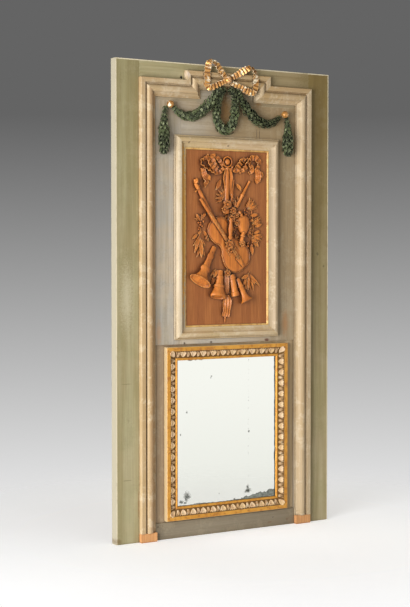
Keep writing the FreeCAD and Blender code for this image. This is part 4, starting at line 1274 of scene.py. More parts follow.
        # The cream's corners and grooves are darkened strongly: painted shade in the moulding's grooves,
        # with grime.
        cream = AgedPaint("cream_paint_rail", srgb(198, 174, 139), srgb(193, 167, 125), srgb(236, 220, 190),
                          srgb(222, 208, 180), srgb(88, 62, 30), run=Run.ACROSS, dirt_and_shade_reach=12 * MM,
                          dirt_and_shade_share=0.95, blotches=0.4)
        return (
            cream,
            replace(cream, name="cream_paint_upright", run=Run.UP,
                    inner=(srgb(196, 167, 133), srgb(190, 159, 119)),
                    drift=Drift(srgb(199, 178, 145), (-0.34, 1.0), (0.30, 1.0)),
                    # This mark is a painted highlight: a pale patch where the crossette's left step faces
                    # the light.
                    marks=(Mark(-203, 1952, 12, 1.7, srgb(226, 206, 186), 0.8, 0.4),)),
            replace(cream, name="relief_frame_paint", colour=srgb(210, 198, 178), faded=srgb(204, 190, 164),
                    run=Run.UP, drift=Drift(srgb(188, 168, 138), (-0.2, 1.4), (0.2, 1.4)),
                    # This mark is a painted reflection: gold light from the slip on the shaded inner slope
                    # of the left member.
                    marks=(Mark(-223, 1340, 14, 31.0, srgb(222, 164, 66), 0.9, 0.7),)),
            replace(cream, name="relief_frame_rail_paint", colour=srgb(212, 189, 155),
                    faded=srgb(205, 182, 140),
                    marks=(Mark(-198, 1668.6, 5, 1.0, share=0.7), Mark(-1, 1661.5, 6, 0.7, share=0.7))))

    def woods(self) -> tuple[WaxedWood, ...]:
        """Wax the relief's ground and carvings, and leave the plinth blocks and the back bare.

        Returns:
            Their finishes.
        """
        return (
            # The ground is darkened widely round the carving: painted shade from the carving, with grime.
            WaxedWood("relief_ground_wax", srgb(174, 108, 54), srgb(146, 84, 38), srgb(70, 30, 10),
                      hollow_reach=30 * MM, hollow_full=0.5),
            # On the carving, its pale edges are painted highlights with abrasion, and its dark hollows are
            # painted shade with dark wax.
            WaxedWood("relief_carving_wax", srgb(226, 137, 55), srgb(170, 90, 30), srgb(52, 20, 4),
                      hollow_reach=16 * MM, hollow_share=1.0, hollow_full=0.42, gloss=0.38, wear_and_highlight=1.0,
                      worn_and_highlight=srgb(250, 200, 126)),
            WaxedWood("bare_plinth_wood", srgb(224, 170, 114), srgb(206, 146, 92), srgb(120, 72, 38),
                      gloss=0.7),
            WaxedWood("bare_back_wood", srgb(176, 136, 94), srgb(140, 102, 66), srgb(76, 52, 32),
                      run=Run.ACROSS, gloss=0.75))

    def gildings(self) -> tuple[Gilding, ...]:
        """Gild the mirror frame, the slips, the hearts, the darts and the bow.

        Returns:
            Their finishes.
        """
        return (
            Gilding("frame_gilding", srgb(216, 157, 66), srgb(197, 136, 46), srgb(156, 90, 44),
                    srgb(200, 178, 138), srgb(70, 52, 24), rubbed_and_highlight=0.8, metal=0.45, gloss=0.46, framed=True),
            Gilding("plain_gilding", srgb(226, 188, 118), srgb(208, 164, 92), srgb(164, 96, 48),
                    srgb(240, 218, 168), srgb(70, 50, 24), metal=0.2, gloss=0.5, groove_grime_and_shade_reach=4 * MM),
            Gilding("leaf_worn_gilding", srgb(222, 189, 140), srgb(212, 173, 126), srgb(196, 140, 106),
                    srgb(238, 218, 190), srgb(104, 78, 44), pale=0.4, metal=0.05, gloss=0.55,
                    groove_grime_and_shade_reach=2.5 * MM),
            # On the darts the pale specks are painted highlights.
            Gilding("pale_gilding", srgb(214, 172, 118), srgb(184, 134, 84), srgb(132, 82, 48),
                    srgb(244, 224, 190), srgb(60, 40, 20), pale=0.3, metal=0.2, gloss=0.4,
                    groove_grime_and_shade_reach=4 * MM, highlight_flecks=0.7),
            # The bow's near-white gesso on its specks and flute edges is painted highlight, and its wide
            # dark grooves are painted shade.
            Gilding("bow_gilding", srgb(210, 158, 86), srgb(176, 120, 58), srgb(124, 74, 38),
                    srgb(255, 242, 212), srgb(48, 24, 8), rubbed_and_highlight=1.0, metal=0.5, gloss=0.34,
                    groove_grime_and_shade_reach=14 * MM, edge_reach=3.5 * MM, highlight_flecks=0.9))

# ---- sub-assemblies ----

@dataclass
class PaintedWork:
    """The joined boards, the cream mouldings and the gilt members, whose frame shapes are kept."""

    finishes: Finishes

    def build(self) -> None:
        """Give every kept node its finish."""
        sides = ("side_left", "side_right", "step_left", "step_right")
        tops = ("top_left", "top_centre", "top_right")
        bands = ("outer_band_", "inner_ogee_")
        dressed = {
            "left_green_paint": ["left_stile"],
            "right_green_paint": ["right_stile"],
            "green_paint_rail": ["top_rail"],
            "grey_paint_upright": ["left_field_board", "right_field_board"],
            "grey_paint_rail": ["upper_field_boards", "mid_rail"],
            "recess_grey_paint": ["mirror_recess_panel"],
            "foot_grey_paint": ["bottom_rail"],
            "bare_back_wood": ["cross_battens", "mirror_backboard"],
            "bare_plinth_wood": ["plinth_blocks"],
            "old_iron": ["hanging_plates", "back_screws", "glazing_sprigs"],
            "cream_paint_upright": [band + run for band in bands for run in sides],
            "cream_paint_rail": [band + run for band in bands for run in tops],
            "relief_frame_paint": ["relief_frame_left", "relief_frame_right"],
            "relief_frame_rail_paint": ["relief_frame_top", "relief_frame_bottom"],
            "frame_gilding": ["gilt_frame_" + side for side in ("left", "right", "top", "bottom")],
            "plain_gilding": ["relief_gilt_slips"],
            "relief_ground_wax": ["relief_panel"],
            "old_mirror_glass": ["mirror_glass"]}
        for finish, nodes in dressed.items():
            dress(nodes, self.finishes[finish])
            LOG.info("%s: %s", finish, ", ".join(nodes))

@dataclass
class LeafAndDart:
    """The carved hearts and darts on the slopes of the gilt frame."""

    finishes: Finishes
    slope_top: float = 23 * MM
    slope_bottom: float = 13.5 * MM
    pitch: float = 48.5 * MM
    length: float = 25 * MM
    heart_width: float = 27 * MM
    dart_width: float = 8 * MM
    rib_half_width: float = 1.5 * MM
    rib_step: float = 9 * MM
    rib_lean: float = math.radians(16)
    corner_lift: float = 3.6 * MM

    def heart(self) -> Piece:
        """Carve a heart-shaped leaf with a sunk middle.

        Returns:
            The leaf, its head at the origin and its point down the slope.
        """
        half = self.heart_width / 2
        side = [(0.10, 0.06), (0.34, -0.02), (0.62, 0.02), (0.88, 0.12), (1.0, 0.28), (0.93, 0.46),
                (0.72, 0.66), (0.40, 0.86)]
        right = [(share * half, -down * self.length) for share, down in side]
        left = [(-x, y) for x, y in reversed(right)]
        outline = right + [(0.0, -self.length)] + left
        return rounded_plate(outline, 1.6 * MM, [(1.0 * MM, 1.5 * MM), (1.8 * MM, -0.2 * MM),
                                                 (1.2 * MM, -0.9 * MM)])

    def dart(self) -> Piece:
        """Carve a thin lozenge with a slanting rib on each side.

        Returns:
            The dart, its head at the origin.
        """
        half = self.dart_width / 2
        outline = [(0, 0), (half * 0.5, -self.length * 0.3), (half, -self.length * 0.7), (0, -self.length),
                   (-half, -self.length * 0.7), (-half * 0.5, -self.length * 0.3)]
        pieces = [rounded_plate(outline, 1.2 * MM, [(0.9 * MM, 1.4 * MM)])]
        edge = self.rib_half_width
        rib = [(-edge, 0), (edge, 0), (edge, -self.length), (-edge, -self.length)]
        for side in (-1, 1):
            bar = rounded_plate(rib, 1.2 * MM, [(0.6 * MM, 1.0 * MM)])
            lean = Matrix.Rotation(-self.rib_lean * side, 4, "Z")
            pieces.append(settle(bar, Matrix.Translation((side * self.rib_step, 0, 0)) @ lean))
        return join(pieces, "dart")

    def slope_place(self, x: float, z: float, inward: Vector) -> Matrix:
        """Find where a carved leaf lies on a slope.

        Args:
            x: Where the slope starts.
            z: Its height there.
            inward: Which way it falls.

        Returns:
            The place of the leaf's head, turned down the slope.
        """
        run = FRAME_MEMBER - FRAME_FILLET - FRAME_BAND
        drop = self.slope_top - self.slope_bottom
        slope = math.hypot(run, drop)
        down = Vector((inward.x * run / slope, drop / slope, inward.z * run / slope))
        across = Vector((0, -1, 0)).cross(down).normalized()
        normal = across.cross(-down).normalized()
        start = Vector((x, -FRAME_FACE - self.slope_top, z)) + down * (slope - self.length) / 2
        turn = Matrix((across, -down, normal)).transposed().to_4x4()
        return Matrix.Translation(start) @ turn

    def corner_place(self, side: int, z: float, up: int) -> Matrix:
        """Find where the longer leaf lies in the mitre of a corner, clear of both slopes.

        Args:
            side: -1 for the left corners and 1 for the right ones.
            z: Where its slope starts.
            up: 1 where the slope falls upwards, -1 where it falls downwards.

        Returns:
            The place of the leaf, drawn out.
        """
        lift = Matrix.Translation((0, -self.corner_lift, 0))
        inward = Vector((-side, 0, up)) / math.sqrt(2)
        place = self.slope_place(side * (FRAME_HALF_WIDTH - FRAME_BAND), z, inward)
        return lift @ place @ Matrix.Diagonal((0.9, 1.3, 1, 1))

    def build(self) -> None:
        """Carve one leaf and one dart for each slope and repeat them."""
        edge = FRAME_HALF_WIDTH - FRAME_BAND
        high = FRAME_TOP - FRAME_BAND
        low = FRAME_BOTTOM + FRAME_BAND
        margin = FRAME_MEMBER - FRAME_BAND
        middle = (low + high) / 2
        hearts: list[Piece] = []
        darts: list[Piece] = []
        for span, level in ((2 * (edge - margin), True), (high - low - 2 * margin, False)):
            count = round(span / self.pitch)
            step = span / count
            heart = self.heart()
            dart = self.dart()
            for index in range(2 * count + 1):
                shift = -span / 2 + index * step / 2
                sides = ((shift, high, Vector((0, 0, -1))), (shift, low, Vector((0, 0, 1))))
                if not level:
                    sides = ((-edge, middle + shift, Vector((1, 0, 0))),
                             (edge, middle + shift, Vector((-1, 0, 0))))
                for x, z, inward in sides:
                    pattern, pile = (heart, hearts) if index % 2 else (dart, darts)
                    pile.append(twin(pattern, self.slope_place(x, z, inward)))
            if level:
                hearts += [twin(heart, self.corner_place(side, z, up)) for side in (-1, 1)
                           for z, up in ((high, -1), (low, 1))]
            drop_piece(heart)
            drop_piece(dart)
        leaves = [join(hearts, "hearts"), join(darts, "darts")]
        for piece, finish in zip(leaves, ("leaf_worn_gilding", "pale_gilding")):
            coat(piece, (self.finishes[finish],))
        hand_over(join(leaves, "leaf_and_dart"), "gilt_leaf_and_dart", ())

@dataclass
class Garland:
    """One rope of laurel leaves, bent along its path and thicker where it hangs lowest."""

    node: str
    path: tuple[Vector, ...]
    swell: Callable[[float], float]
    leaf: Piece
    material: bpy.types.Material
    seed: int
    ring_pitch: float = 15 * MM
    leaves_round: int = 5
    spread: float = math.radians(200)
    lift: float = math.radians(26)
    full_radius: float = 21 * MM

    def leaf_place(self, chance: random.Random, along: float, radius: float, turn: float) -> Matrix:
        """Find where one leaf lies on the straight core.

        Args:
            chance: The garland's own chance.
            along: How far along the core its stalk is.
            radius: The garland's radius there.
            turn: How far round the core it lies.

        Returns:
            Its place, size and lean.
        """
        turn += chance.uniform(-0.12, 0.12)
        size = radius / self.full_radius * chance.uniform(0.88, 1.12)
        lift = Matrix.Rotation(-self.lift + chance.uniform(-0.12, 0.12), 4, "Y")
        sway = Matrix.Rotation(chance.uniform(-0.3, 0.3), 4, "Z")
        return (Matrix.Translation((along, 0, 0)) @ Matrix.Rotation(turn, 4, "X")
                @ Matrix.Translation((0, 0, radius * 0.58)) @ lift @ sway
                @ Matrix.Diagonal((max(size, 0.55), max(size, 0.5), max(size, 0.6), 1)))

    def build(self) -> None:
        """Lay the leaves on a straight core, then bend the rope along its path."""
        chance = random.Random(self.seed)
        line = Path(self.path)
        length = line.length
        core = lathe([(0, 0)] + [(share / 16 * length, self.swell(share / 16) * 0.66) for share in range(17)]
                     + [(length, 0)], 12)
        open_mesh(core)
        bpy.ops.mesh.subdivide(number_cuts=1)
        close_mesh()
        leaves = []
        rings = round(length / self.ring_pitch)
        for ring in range(rings):
            share = (ring + 0.5) / rings
            radius = self.swell(share)
            for slot in range(self.leaves_round):
                turn = self.spread * ((slot + 0.5 * (ring % 2)) / (self.leaves_round - 0.5) - 0.5)
                along = (share - 0.5 / rings) * length
                leaves.append(twin(self.leaf, self.leaf_place(chance, along, radius, turn)))
        rope = join([core] + leaves, self.node)
        line.bend(rope)
        line.done()
        stand_up(rope, 0)
        hand_over(rope, self.node, (self.material,))

@dataclass
class TopOrnament:
    """The laurel garlands, the two ball pins and the gilt bow with its knot."""

    finishes: Finishes
    left_pin: Place = (-293.0 * MM, 1822.0 * MM)
    right_pin: Place = (283.0 * MM, 1808.0 * MM)
    pin_radius: float = 15.5 * MM
    knot: Place = (-14.0 * MM, 1938.4 * MM)
    knot_radius: float = 19 * MM
    swag_radius: float = 20 * MM
    end_radius: float = 8.5 * MM
    loop_radius: float = 18.5 * MM
    drop_radius: float = 22.5 * MM
    drop_tip: float = 8 * MM
    left_drop: float = 200 * MM
    right_drop: float = 173 * MM
    leaf_length: float = 28 * MM
    leaf_width: float = 15.5 * MM
    ribbon_width: float = 30 * MM
    flute_pitch: float = 16 * MM

    def laurel_leaf(self) -> Piece:
        """Carve one pointed leaf with a sunk midrib and lifted edges.

        Returns:
            The leaf, its stalk at the origin.
        """
        length = self.leaf_length
        rows = 5
        leaf = grid(length, rows, 2)
        widths = (0.35, 0.85, 1.0, 0.96, 0.68, 0.10)
        heights = (0.0, 1.6, 2.8, 3.0, 2.0, -0.4)
        shape_rows(leaf, length, rows, lambda share: widths[round(share * rows)] * self.leaf_width,
                   lambda share: heights[round(share * rows)] * MM)
        open_mesh(leaf)
        pick(leaf, lambda place: abs(place.y) < 0.2 * MM)
        bpy.ops.transform.translate(value=(0, 0, -1.5 * MM))
        close_mesh()
        finish_modifier(leaf, "SOLIDIFY", thickness=1.3 * MM, offset=0)
        return leaf

    def swag_path(self, pin: Place) -> tuple[Vector, ...]:
        """Draw a swag from its pin to the crest beside the knot.

        Args:
            pin: X and Z of its pin.

        Returns:
            Places along its line.
        """
        field_out = PANEL_FRONT + self.swag_radius * 0.62
        crest_out = MOULDING_CREST + self.end_radius * 0.6
        inward = -math.copysign(1, pin[0])
        start = bench(pin[0] + inward * 19 * MM, pin[1] - self.pin_radius * 0.6, field_out)
        low = bench(pin[0] + inward * 78 * MM, pin[1] - 68 * MM, field_out)
        high = bench(self.knot[0] - inward * 40 * MM, self.knot[1] - 34 * MM, crest_out)
        flat = bench(low.x + (high.x - low.x) * 0.45, low.y, field_out)
        return tuple(bezier((start, low, flat, high), share / 7) for share in range(8))

    def drop_path(self, pin: Place, length: float) -> tuple[Vector, ...]:
        """Draw a drop that hangs beside a pin.

        Args:
            pin: X and Z of its pin.
            length: How far it hangs.

        Returns:
            Places along its line.
        """
        x = pin[0] + math.copysign(24 * MM, pin[0])
        out = PANEL_FRONT + self.drop_radius * 0.55
        top = pin[1] - 8 * MM
        inner = bench(pin[0] + math.copysign(15 * MM, pin[0]), top, out)
        return (inner, bench(x, top - length * 0.3, out), bench(x, top - length * 0.66, out),
                bench(x, top - length, out))

    def loop_path(self) -> tuple[Vector, ...]:
        """Draw the centre loop, down one side and up the other.

        Returns:
            Places along its line.
        """
        x, z = self.knot
        middle = x - 2 * MM
        crest = MOULDING_CREST + self.loop_radius * 0.1
        low = PANEL_FRONT + self.loop_radius * 0.62
        half = 44 * MM
        left = [bench(middle - 12 * MM, z - 34 * MM, crest),
                bench(middle - half * 0.82, z - 66 * MM, crest),
                bench(middle - half, z - 118 * MM, low + 6 * MM),
                bench(middle - half * 0.86, z - 176 * MM, low)]
        bottom = bench(middle, z - 212 * MM, low)
        right = [Vector((2 * middle - point.x, point.y, point.z)) for point in reversed(left)]
        return tuple(left + [bottom] + right)

    def garlands(self) -> None:
        """Hang the swags, the loop and the drops."""
        leaf = self.laurel_leaf()
        paint = self.finishes["garland_green_paint"]

        def belly(share: float) -> float:
            """The radius of a swag, thickest in its middle."""
            return self.end_radius + (self.swag_radius - self.end_radius) * math.sin(math.pi * share) ** 0.7

        def ring(share: float) -> float:
            """The radius of the loop, thinner where it starts and ends."""
            return self.loop_radius * (0.74 + 0.26 * math.sin(math.pi * share))

        def tear(share: float) -> float:
            """The radius of a drop, thickest past its middle."""
            swell = math.sin(math.pi * share ** 1.6) ** 0.8
            return self.drop_tip + (self.drop_radius - self.drop_tip) * swell

        ropes = (("garland_left_swag", self.swag_path(self.left_pin), belly),
                 ("garland_right_swag", self.swag_path(self.right_pin), belly),
                 ("garland_left_drop", self.drop_path(self.left_pin, self.left_drop), tear),
                 ("garland_right_drop", self.drop_path(self.right_pin, self.right_drop), tear),
                 ("garland_centre_loop", self.loop_path(), ring))
        for seed, (node, path, swell) in enumerate(ropes):
            Garland(node, path, swell, leaf, paint, seed).build()
        drop_piece(leaf)

    def pins(self) -> None:
        """Two turned balls, each on a shank with a small collar."""
        balls = []
        for x, z in (self.left_pin, self.right_pin):
            radius = self.pin_radius
            out = PANEL_FRONT + self.swag_radius + radius * 0.4
            rim = [(out + radius * math.sin(math.radians(angle)), radius * math.cos(math.radians(angle)))
                   for angle in range(-66, 90, 12)]
            profile = [(PANEL_FRONT, 0), (PANEL_FRONT, 4.5 * MM), (out - radius * 1.15, 4.5 * MM),
                       (out - radius * 1.1, 8 * MM), (out - radius, 8 * MM)] + rim + [(out + radius, 0)]
            ball = lathe(profile, 24)
            balls.append(settle(ball, Matrix.Translation((x, 0, z)) @ Matrix.Rotation(-math.pi / 2, 4, "Z")))
        hand_over(join(balls, "pins"), "ball_pins", (self.finishes["bow_gilding"],))

    def fluted_ribbon(self, points: Sequence[Vector], tilts: Sequence[float],
                      widths: Sequence[float]) -> Piece:
        """Gather a ribbon into cross flutes and bend it along its line.

        Args:
            points: The line that it follows, on the bench.
            tilts: Its turn about the line at each point, in degrees.
            widths: Its width at even steps, as shares of the full width.

        Returns:
            The ribbon.
        """
        chance = random.Random(len(points))
        line = Path(points, tilts)
        flutes = max(4, round(line.length / self.flute_pitch))
        rows = flutes * 4
        ribbon = grid(line.length, rows, 4)

        def width(share: float) -> float:
            """The ragged width at a share of the ribbon."""
            step = share * (len(widths) - 1)
            low = min(int(step), len(widths) - 2)
            ragged = 1 + 0.10 * math.sin(math.tau * flutes * share + 1.2) + chance.uniform(-0.05, 0.05)
            even = widths[low] + (widths[low + 1] - widths[low]) * (step - low)
            return self.ribbon_width * ragged * even

        def height(share: float) -> float:
            """The uneven height of the flutes."""
            return chance.uniform(5.0, 8.0) * MM * (abs(math.sin(math.pi * flutes * share)) - 0.6)

        shape_rows(ribbon, line.length, rows, width, height)
        finish_modifier(ribbon, "SOLIDIFY", thickness=2.4 * MM, offset=0)
        line.bend(ribbon)
        line.done()
        return ribbon

    def bow(self) -> None:
        """Tie the bow: a loop on each side, a tail at the right, and the knot over them."""
        x, z = self.knot
        base = MOULDING_CREST + 4 * MM

        def at(right: float, up: float, out: float) -> Vector:
            """A place beside the knot, in millimetres."""
            return Vector((x + right * MM, z + up * MM, base + out * MM))

        left = self.fluted_ribbon(
            [at(-6, 4, 0), at(-38, 38, 4), at(-64, 66, 5), at(-88, 72, 2), at(-99, 44, 0), at(-102, 0, 0),
             at(-97, -34, 2), at(-72, -32, 4), at(-38, -16, 4), at(-6, -3, 0)],
            [0, 0, 25, 50, 20, 0, 35, 15, 0, 0],
            [0.6, 0.85, 0.95, 0.9, 0.9, 0.95, 0.9, 0.9, 0.8, 0.6])
        right = self.fluted_ribbon(
            [at(6, 4, 0), at(44, 24, 4), at(82, 46, 5), at(114, 59, 2), at(137, 42, 0), at(143, 8, 0),
             at(140, -26, 1), at(132, -46, 1)],
            [0, 0, -20, -50, -30, 0, 0, 10], [0.6, 0.85, 0.95, 0.9, 0.9, 0.95, 0.9, 0.7])
        tail = self.fluted_ribbon(
            [at(4, -5, 0), at(38, -20, 4), at(76, -34, 4), at(108, -45, 3), at(137, -50, 2)],
            [0, 0, 15, 0, -10], [0.5, 0.8, 0.9, 0.95, 0.75])
        bow = join([left, right, tail], "bow")
        stand_up(bow, 0)
        hand_over(bow, "bow_ribbon", (self.finishes["bow_gilding"],))
        self.tie()

    def tie(self) -> None:
        """The knot: a domed button wrapped by three turns of ribbon."""
        x, z = self.knot
        radius = self.knot_radius
        crown = [(radius * 0.8 * math.sin(math.radians(angle)), radius * math.cos(math.radians(angle)) * 0.9)
                 for angle in range(-30, 90, 15)]
        dome = lathe([(-radius * 0.5, 0)] + crown + [(radius * 0.8, 0)], 24)
        pieces = [settle(dome, Matrix.Rotation(-math.pi / 2, 4, "Y"))]
        for turn in (58, 92, 126):
            deselect()
            bpy.ops.mesh.primitive_torus_add(major_radius=radius * 0.78, minor_radius=3.6 * MM,
                                             major_segments=28, minor_segments=8,
                                             rotation=(math.pi / 2, 0, math.radians(turn)))
            pieces.append(bpy.context.object)
        knot = join(pieces, "knot")
        cut_below(knot, -5 * MM)
        settle(knot, Matrix.Translation((x, z, MOULDING_CREST + 8 * MM)))
        stand_up(knot, 0)
        hand_over(knot, "bow_knot", (self.finishes["bow_gilding"],))

    def build(self) -> None:
        """Make every piece of the top ornament."""
        self.garlands()
        self.pins()
        self.bow()

@dataclass
class Trophy:
    """The carved instruments, ribbons and leaves of the relief, modelled lying on the bench."""

    finishes: Finishes
    seed: int = 11
    leaf_size: float = 40.0
    fans: tuple[tuple[float, float, float, float, int, float], ...] = (
        (104, 1392, 10, 80, 6, 52), (124, 1330, -10, 42, 5, 54), (126, 1276, -66, 12, 6, 52),
        (-134, 1336, 60, 150, 5, 34), (-140, 1270, -130, -50, 5, 46), (-136, 1232, -110, -60, 3, 48),
        (10, 1430, -150, 20, 7, 30), (-20, 1440, 100, 210, 5, 42), (36, 1400, 20, 110, 5, 34),
        (-60, 1136, -130, -60, 4, 40), (108, 1116, -118, -44, 4, 80), (52, 1420, 30, 90, 3, 30),
        (-112, 1262, -20, 60, 4, 26), (6, 1372, 150, 330, 6, 30), (26, 1320, 200, 340, 6, 32),
        (34, 1262, -60, 70, 5, 30), (-24, 1474, -110, -70, 3, 44), (96, 1300, -60, 30, 4, 34))

    def at(self, x: float, z: float, out: float = 0.0) -> Vector:
        """A bench place from millimetres across and up the panel, and out from its ground."""
        return Vector((x, z, out)) * MM

    def done(self, pieces: Sequence[Piece], node: str) -> None:
        """Join the parts of one carving, cut it flat on the ground and stand it up.

        Args:
            pieces: Its parts.
            node: The frame node that it replaces.
        """
        carving = join(pieces, node)
        cut_below(carving, -0.5 * MM)
        stand_up(carving, PANEL_FRONT)
        hand_over(carving, node, (self.finishes["relief_carving_wax"],))

    def laid(self, profile: Sequence[Place], start: Place, end: Place, out: float, flat: float = 1.0,
             tip: float = 0.0, steps: int = 24) -> Piece:
        """Lay a turned piece along a line of the panel.

        Args:
            profile: Pairs of share of the line and radius in millimetres; its ends are closed.
            start: Where it starts, in millimetres.
            end: Where it ends.
            out: How far its axis lies in front of the ground, in millimetres.
            flat: Its depth as a share of its width.
            tip: How far its far end leans towards the viewer, in degrees.
            steps: Facets round it.

        Returns:
            The turned piece, placed on the bench.
        """
        run = self.at(*end) - self.at(*start)
        length = run.length
        rim = [(share * length, radius * MM) for share, radius in profile]
        piece = lathe([(rim[0][0], 0)] + rim + [(rim[-1][0], 0)], steps)
        settle(piece, Matrix.Rotation(-math.radians(tip), 4, "Y"))
        turn = Matrix.Rotation(math.atan2(run.y, run.x), 4, "Z") @ Matrix.Diagonal((1, 1, flat, 1))
        return settle(piece, Matrix.Translation(self.at(*start, out)) @ turn)

    def rods(self, *rows: tuple[Any, ...]) -> list[Piece]:
        """Turned pieces, one for each row of what laid takes."""
        return [self.laid(*row) for row in rows]

    def plate(self, outline: Sequence[Place], base: float, rise: float, steps: Sequence[Place]) -> Piece:
        """Carve a plate with a domed front, all in millimetres.

        Args:
            outline: Its corners in order.
            base: The height that it starts from.
            rise: How far its sides rise.
            steps: Pairs of inset and rise, from its rim to its crown.

        Returns:
            The plate.
        """
        piece = rounded_plate([(x * MM, z * MM) for x, z in outline], rise * MM,
                              [(inset * MM, up * MM) for inset, up in steps])
        return settle(piece, Matrix.Translation((0, 0, base * MM)))

    def ribbon(self, points: Sequence[tuple[float, float, float]], tilts: Sequence[float], width: float,
               folds: float = 0.0, tapers: tuple[float, float] = (0.6, 0.6), crinkle: float = 60.0,
               depth: float = 1.2) -> Piece:
        """Carve a ribbon that lies on the ground.

        Args:
            points: Places that it passes through, across, up and out, in millimetres.
            tilts: Its turn about the line at each of them, in degrees.
            width: Its width in millimetres.
            folds: Depth of its lengthwise folds.
            tapers: Width of each end as a share of the full width.
            crinkle: Pitch of its cross waves.
            depth: Height of its cross waves.

        Returns:
            The ribbon.
        """
        line = Path([self.at(*point) for point in points], tilts)
        rows = max(10, round(line.length / (4 * MM)))
        piece = grid(line.length, rows, 6)

        def width_at(share: float) -> float:
            """The width, eased down to each end."""
            ease = min(1.0, share / 0.25, (1 - share) / 0.25)
            start = tapers[0] if share < 0.5 else tapers[1]
            return width * MM * (start + (1 - start) * ease)

        waves = line.length / (crinkle * MM)
        shape_rows(piece, line.length, rows, width_at,
                   lambda share: depth * MM * math.sin(math.tau * waves * share))
        if folds:
            open_mesh(piece)
            pick(piece, lambda place: abs(math.sin(place.y / (width * MM) * math.pi * 3)) > 0.8)
            bpy.ops.transform.translate(value=(0, 0, folds * MM))
            close_mesh()
        finish_modifier(piece, "SOLIDIFY", thickness=2.6 * MM, offset=0)
        line.bend(piece)
        line.done()
        return piece

    def leaf_pattern(self, length: float, width: float) -> Piece:
        """Carve a pointed leaf.

        Args:
            length: Its length in millimetres.
            width: Its width.

        Returns:
            The leaf, its stalk at the origin.
        """
        rows = 6
        leaf = grid(length * MM, rows, 2)
        widths = (0.22, 0.62, 0.94, 1.0, 0.78, 0.42, 0.05)
        heights = (0.0, 1.4, 2.6, 3.4, 3.6, 3.0, 1.4)
        shape_rows(leaf, length * MM, rows, lambda share: widths[round(share * rows)] * width * MM,
                   lambda share: heights[round(share * rows)] * MM)
        open_mesh(leaf)
        pick(leaf, lambda place: abs(place.y) < 0.3 * MM)
        bpy.ops.transform.translate(value=(0, 0, -1.6 * MM))
        close_mesh()
        finish_modifier(leaf, "SOLIDIFY", thickness=2.0 * MM, offset=-0.6)
        return leaf

    def leaf_to(self, pattern: Piece, start: Place, end: Place, out: float, size: float) -> Piece:
        """Copy a leaf so that it runs from a stalk to a tip.

        Args:
            pattern: The leaf.
            start: Its stalk, in millimetres.
            end: Its tip.
            out: How far in front of the ground it lies.
            size: The pattern's length in millimetres.

        Returns:
            The copy.
        """
        run = self.at(*end) - self.at(*start)
        scale = run.length / size / MM
        turn = Matrix.Rotation(math.atan2(run.y, run.x), 4, "Z")
        sized = Matrix.Diagonal((scale, min(scale, 1.15), 1, 1))
        return twin(pattern, Matrix.Translation(self.at(*start, out)) @ turn @ sized)

    def rosette(self, x: float, z: float, out: float, radius: float, petals: int = 7) -> list[Piece]:
        """Carve a small flower or bound knot, a ring of petals round a button.

        Args:
            x: Its middle, in millimetres.
            z: Its height.
            out: How far in front of the ground it lies.
            radius: Its radius.
            petals: How many petals it has.

        Returns:
            Its parts.
        """
        petal = self.leaf_pattern(radius, radius * 0.62)
        made = []
        for index in range(petals):
            turn = math.tau * index / petals
            place = Matrix.Translation(self.at(x, z, out)) @ Matrix.Rotation(turn, 4, "Z")
            made.append(twin(petal, place))
        drop_piece(petal)
        button = radius * 0.34
        made.append(self.laid([(0, 1.5), (0.2, button), (0.8, button), (1, 1.5)], (x - button, z),
                              (x + button, z), out + 2.5, 0.9, 0, 12))
        return made

    def rosettes(self, *rows: tuple[float, ...]) -> list[Piece]:
        """The parts of several small flowers, one for each row of what rosette takes."""
        return [part for row in rows for part in self.rosette(*row)]

    def on_body(self, up: float, over: float) -> Place:
        """A place on the violin, in millimetres.

        Args:
            up: How far up from its foot.
            over: How far to the left of its middle.

        Returns:
            X and Z of the front.
        """
        foot, crown = Vector((82.0, 1137.0)), Vector((-76.0, 1346.0))
        along = (crown - foot).normalized()
        point = foot + along * up + Vector((-along.y, along.x)) * over
        return (point.x, point.y)

    def mirrored(self, half: Sequence[Place]) -> list[Place]:
        """An outline on the violin from its right half, given as pairs of height and width."""
        right = [self.on_body(up, -over) for up, over in half]
        return right + [self.on_body(up, over) for up, over in reversed(half)]

    def violin_body(self) -> list[Piece]:
        """Carve the arched body with its two bouts, and what is laid on it.

        Returns:
            The body, tailpiece, bridge, fingerboard, strings and sound holes.
        """
        half = [(0, 10), (4, 30), (14, 48), (32, 62), (52, 69), (74, 69), (94, 63), (106, 58), (113, 57),
                (118, 51), (124, 45), (134, 41), (148, 39), (160, 42), (168, 48), (174, 52), (182, 53),
                (196, 57), (212, 58), (230, 54), (246, 44), (257, 28), (262, 10)]
        arch = [(1.4, 1.2), (1.6, -2.2), (1.6, 0.1), (3, 2.6), (5, 1.4), (6, 0.9)]
        tail = [self.on_body(*place) for place in ((12, -5), (62, -13), (66, 0), (62, 13), (12, 5))]
        pieces = [self.plate(self.mirrored(half), 0, 9, arch),
                  self.plate(tail, 12, 4.5, [(2, 1.2)]),
                  self.plate(self.mirrored([(98, 17), (104, 17)]), 12, 6.5, [(1.2, 0.8)]),
                  self.plate(self.mirrored([(140, 8), (262, 7), (372, 4.5)]), 13, 6.5, [(2, 1.2)])]
        for over in (-6, -2, 2, 6):
            pieces.append(self.laid([(0, 0.7), (1, 0.7)], self.on_body(52, over),
                                    self.on_body(300, over * 0.6), 20.5, 1.0, 0, 6))
        for side in (-1, 1):
            hole = [self.on_body(up, side * over)
                    for up, over in ((84, 26), (92, 30), (112, 25), (120, 30), (118, 23), (100, 24))]
            pieces.append(self.plate(hole, 12.2, 1.6, [(0.8, -0.6)]))
        return pieces

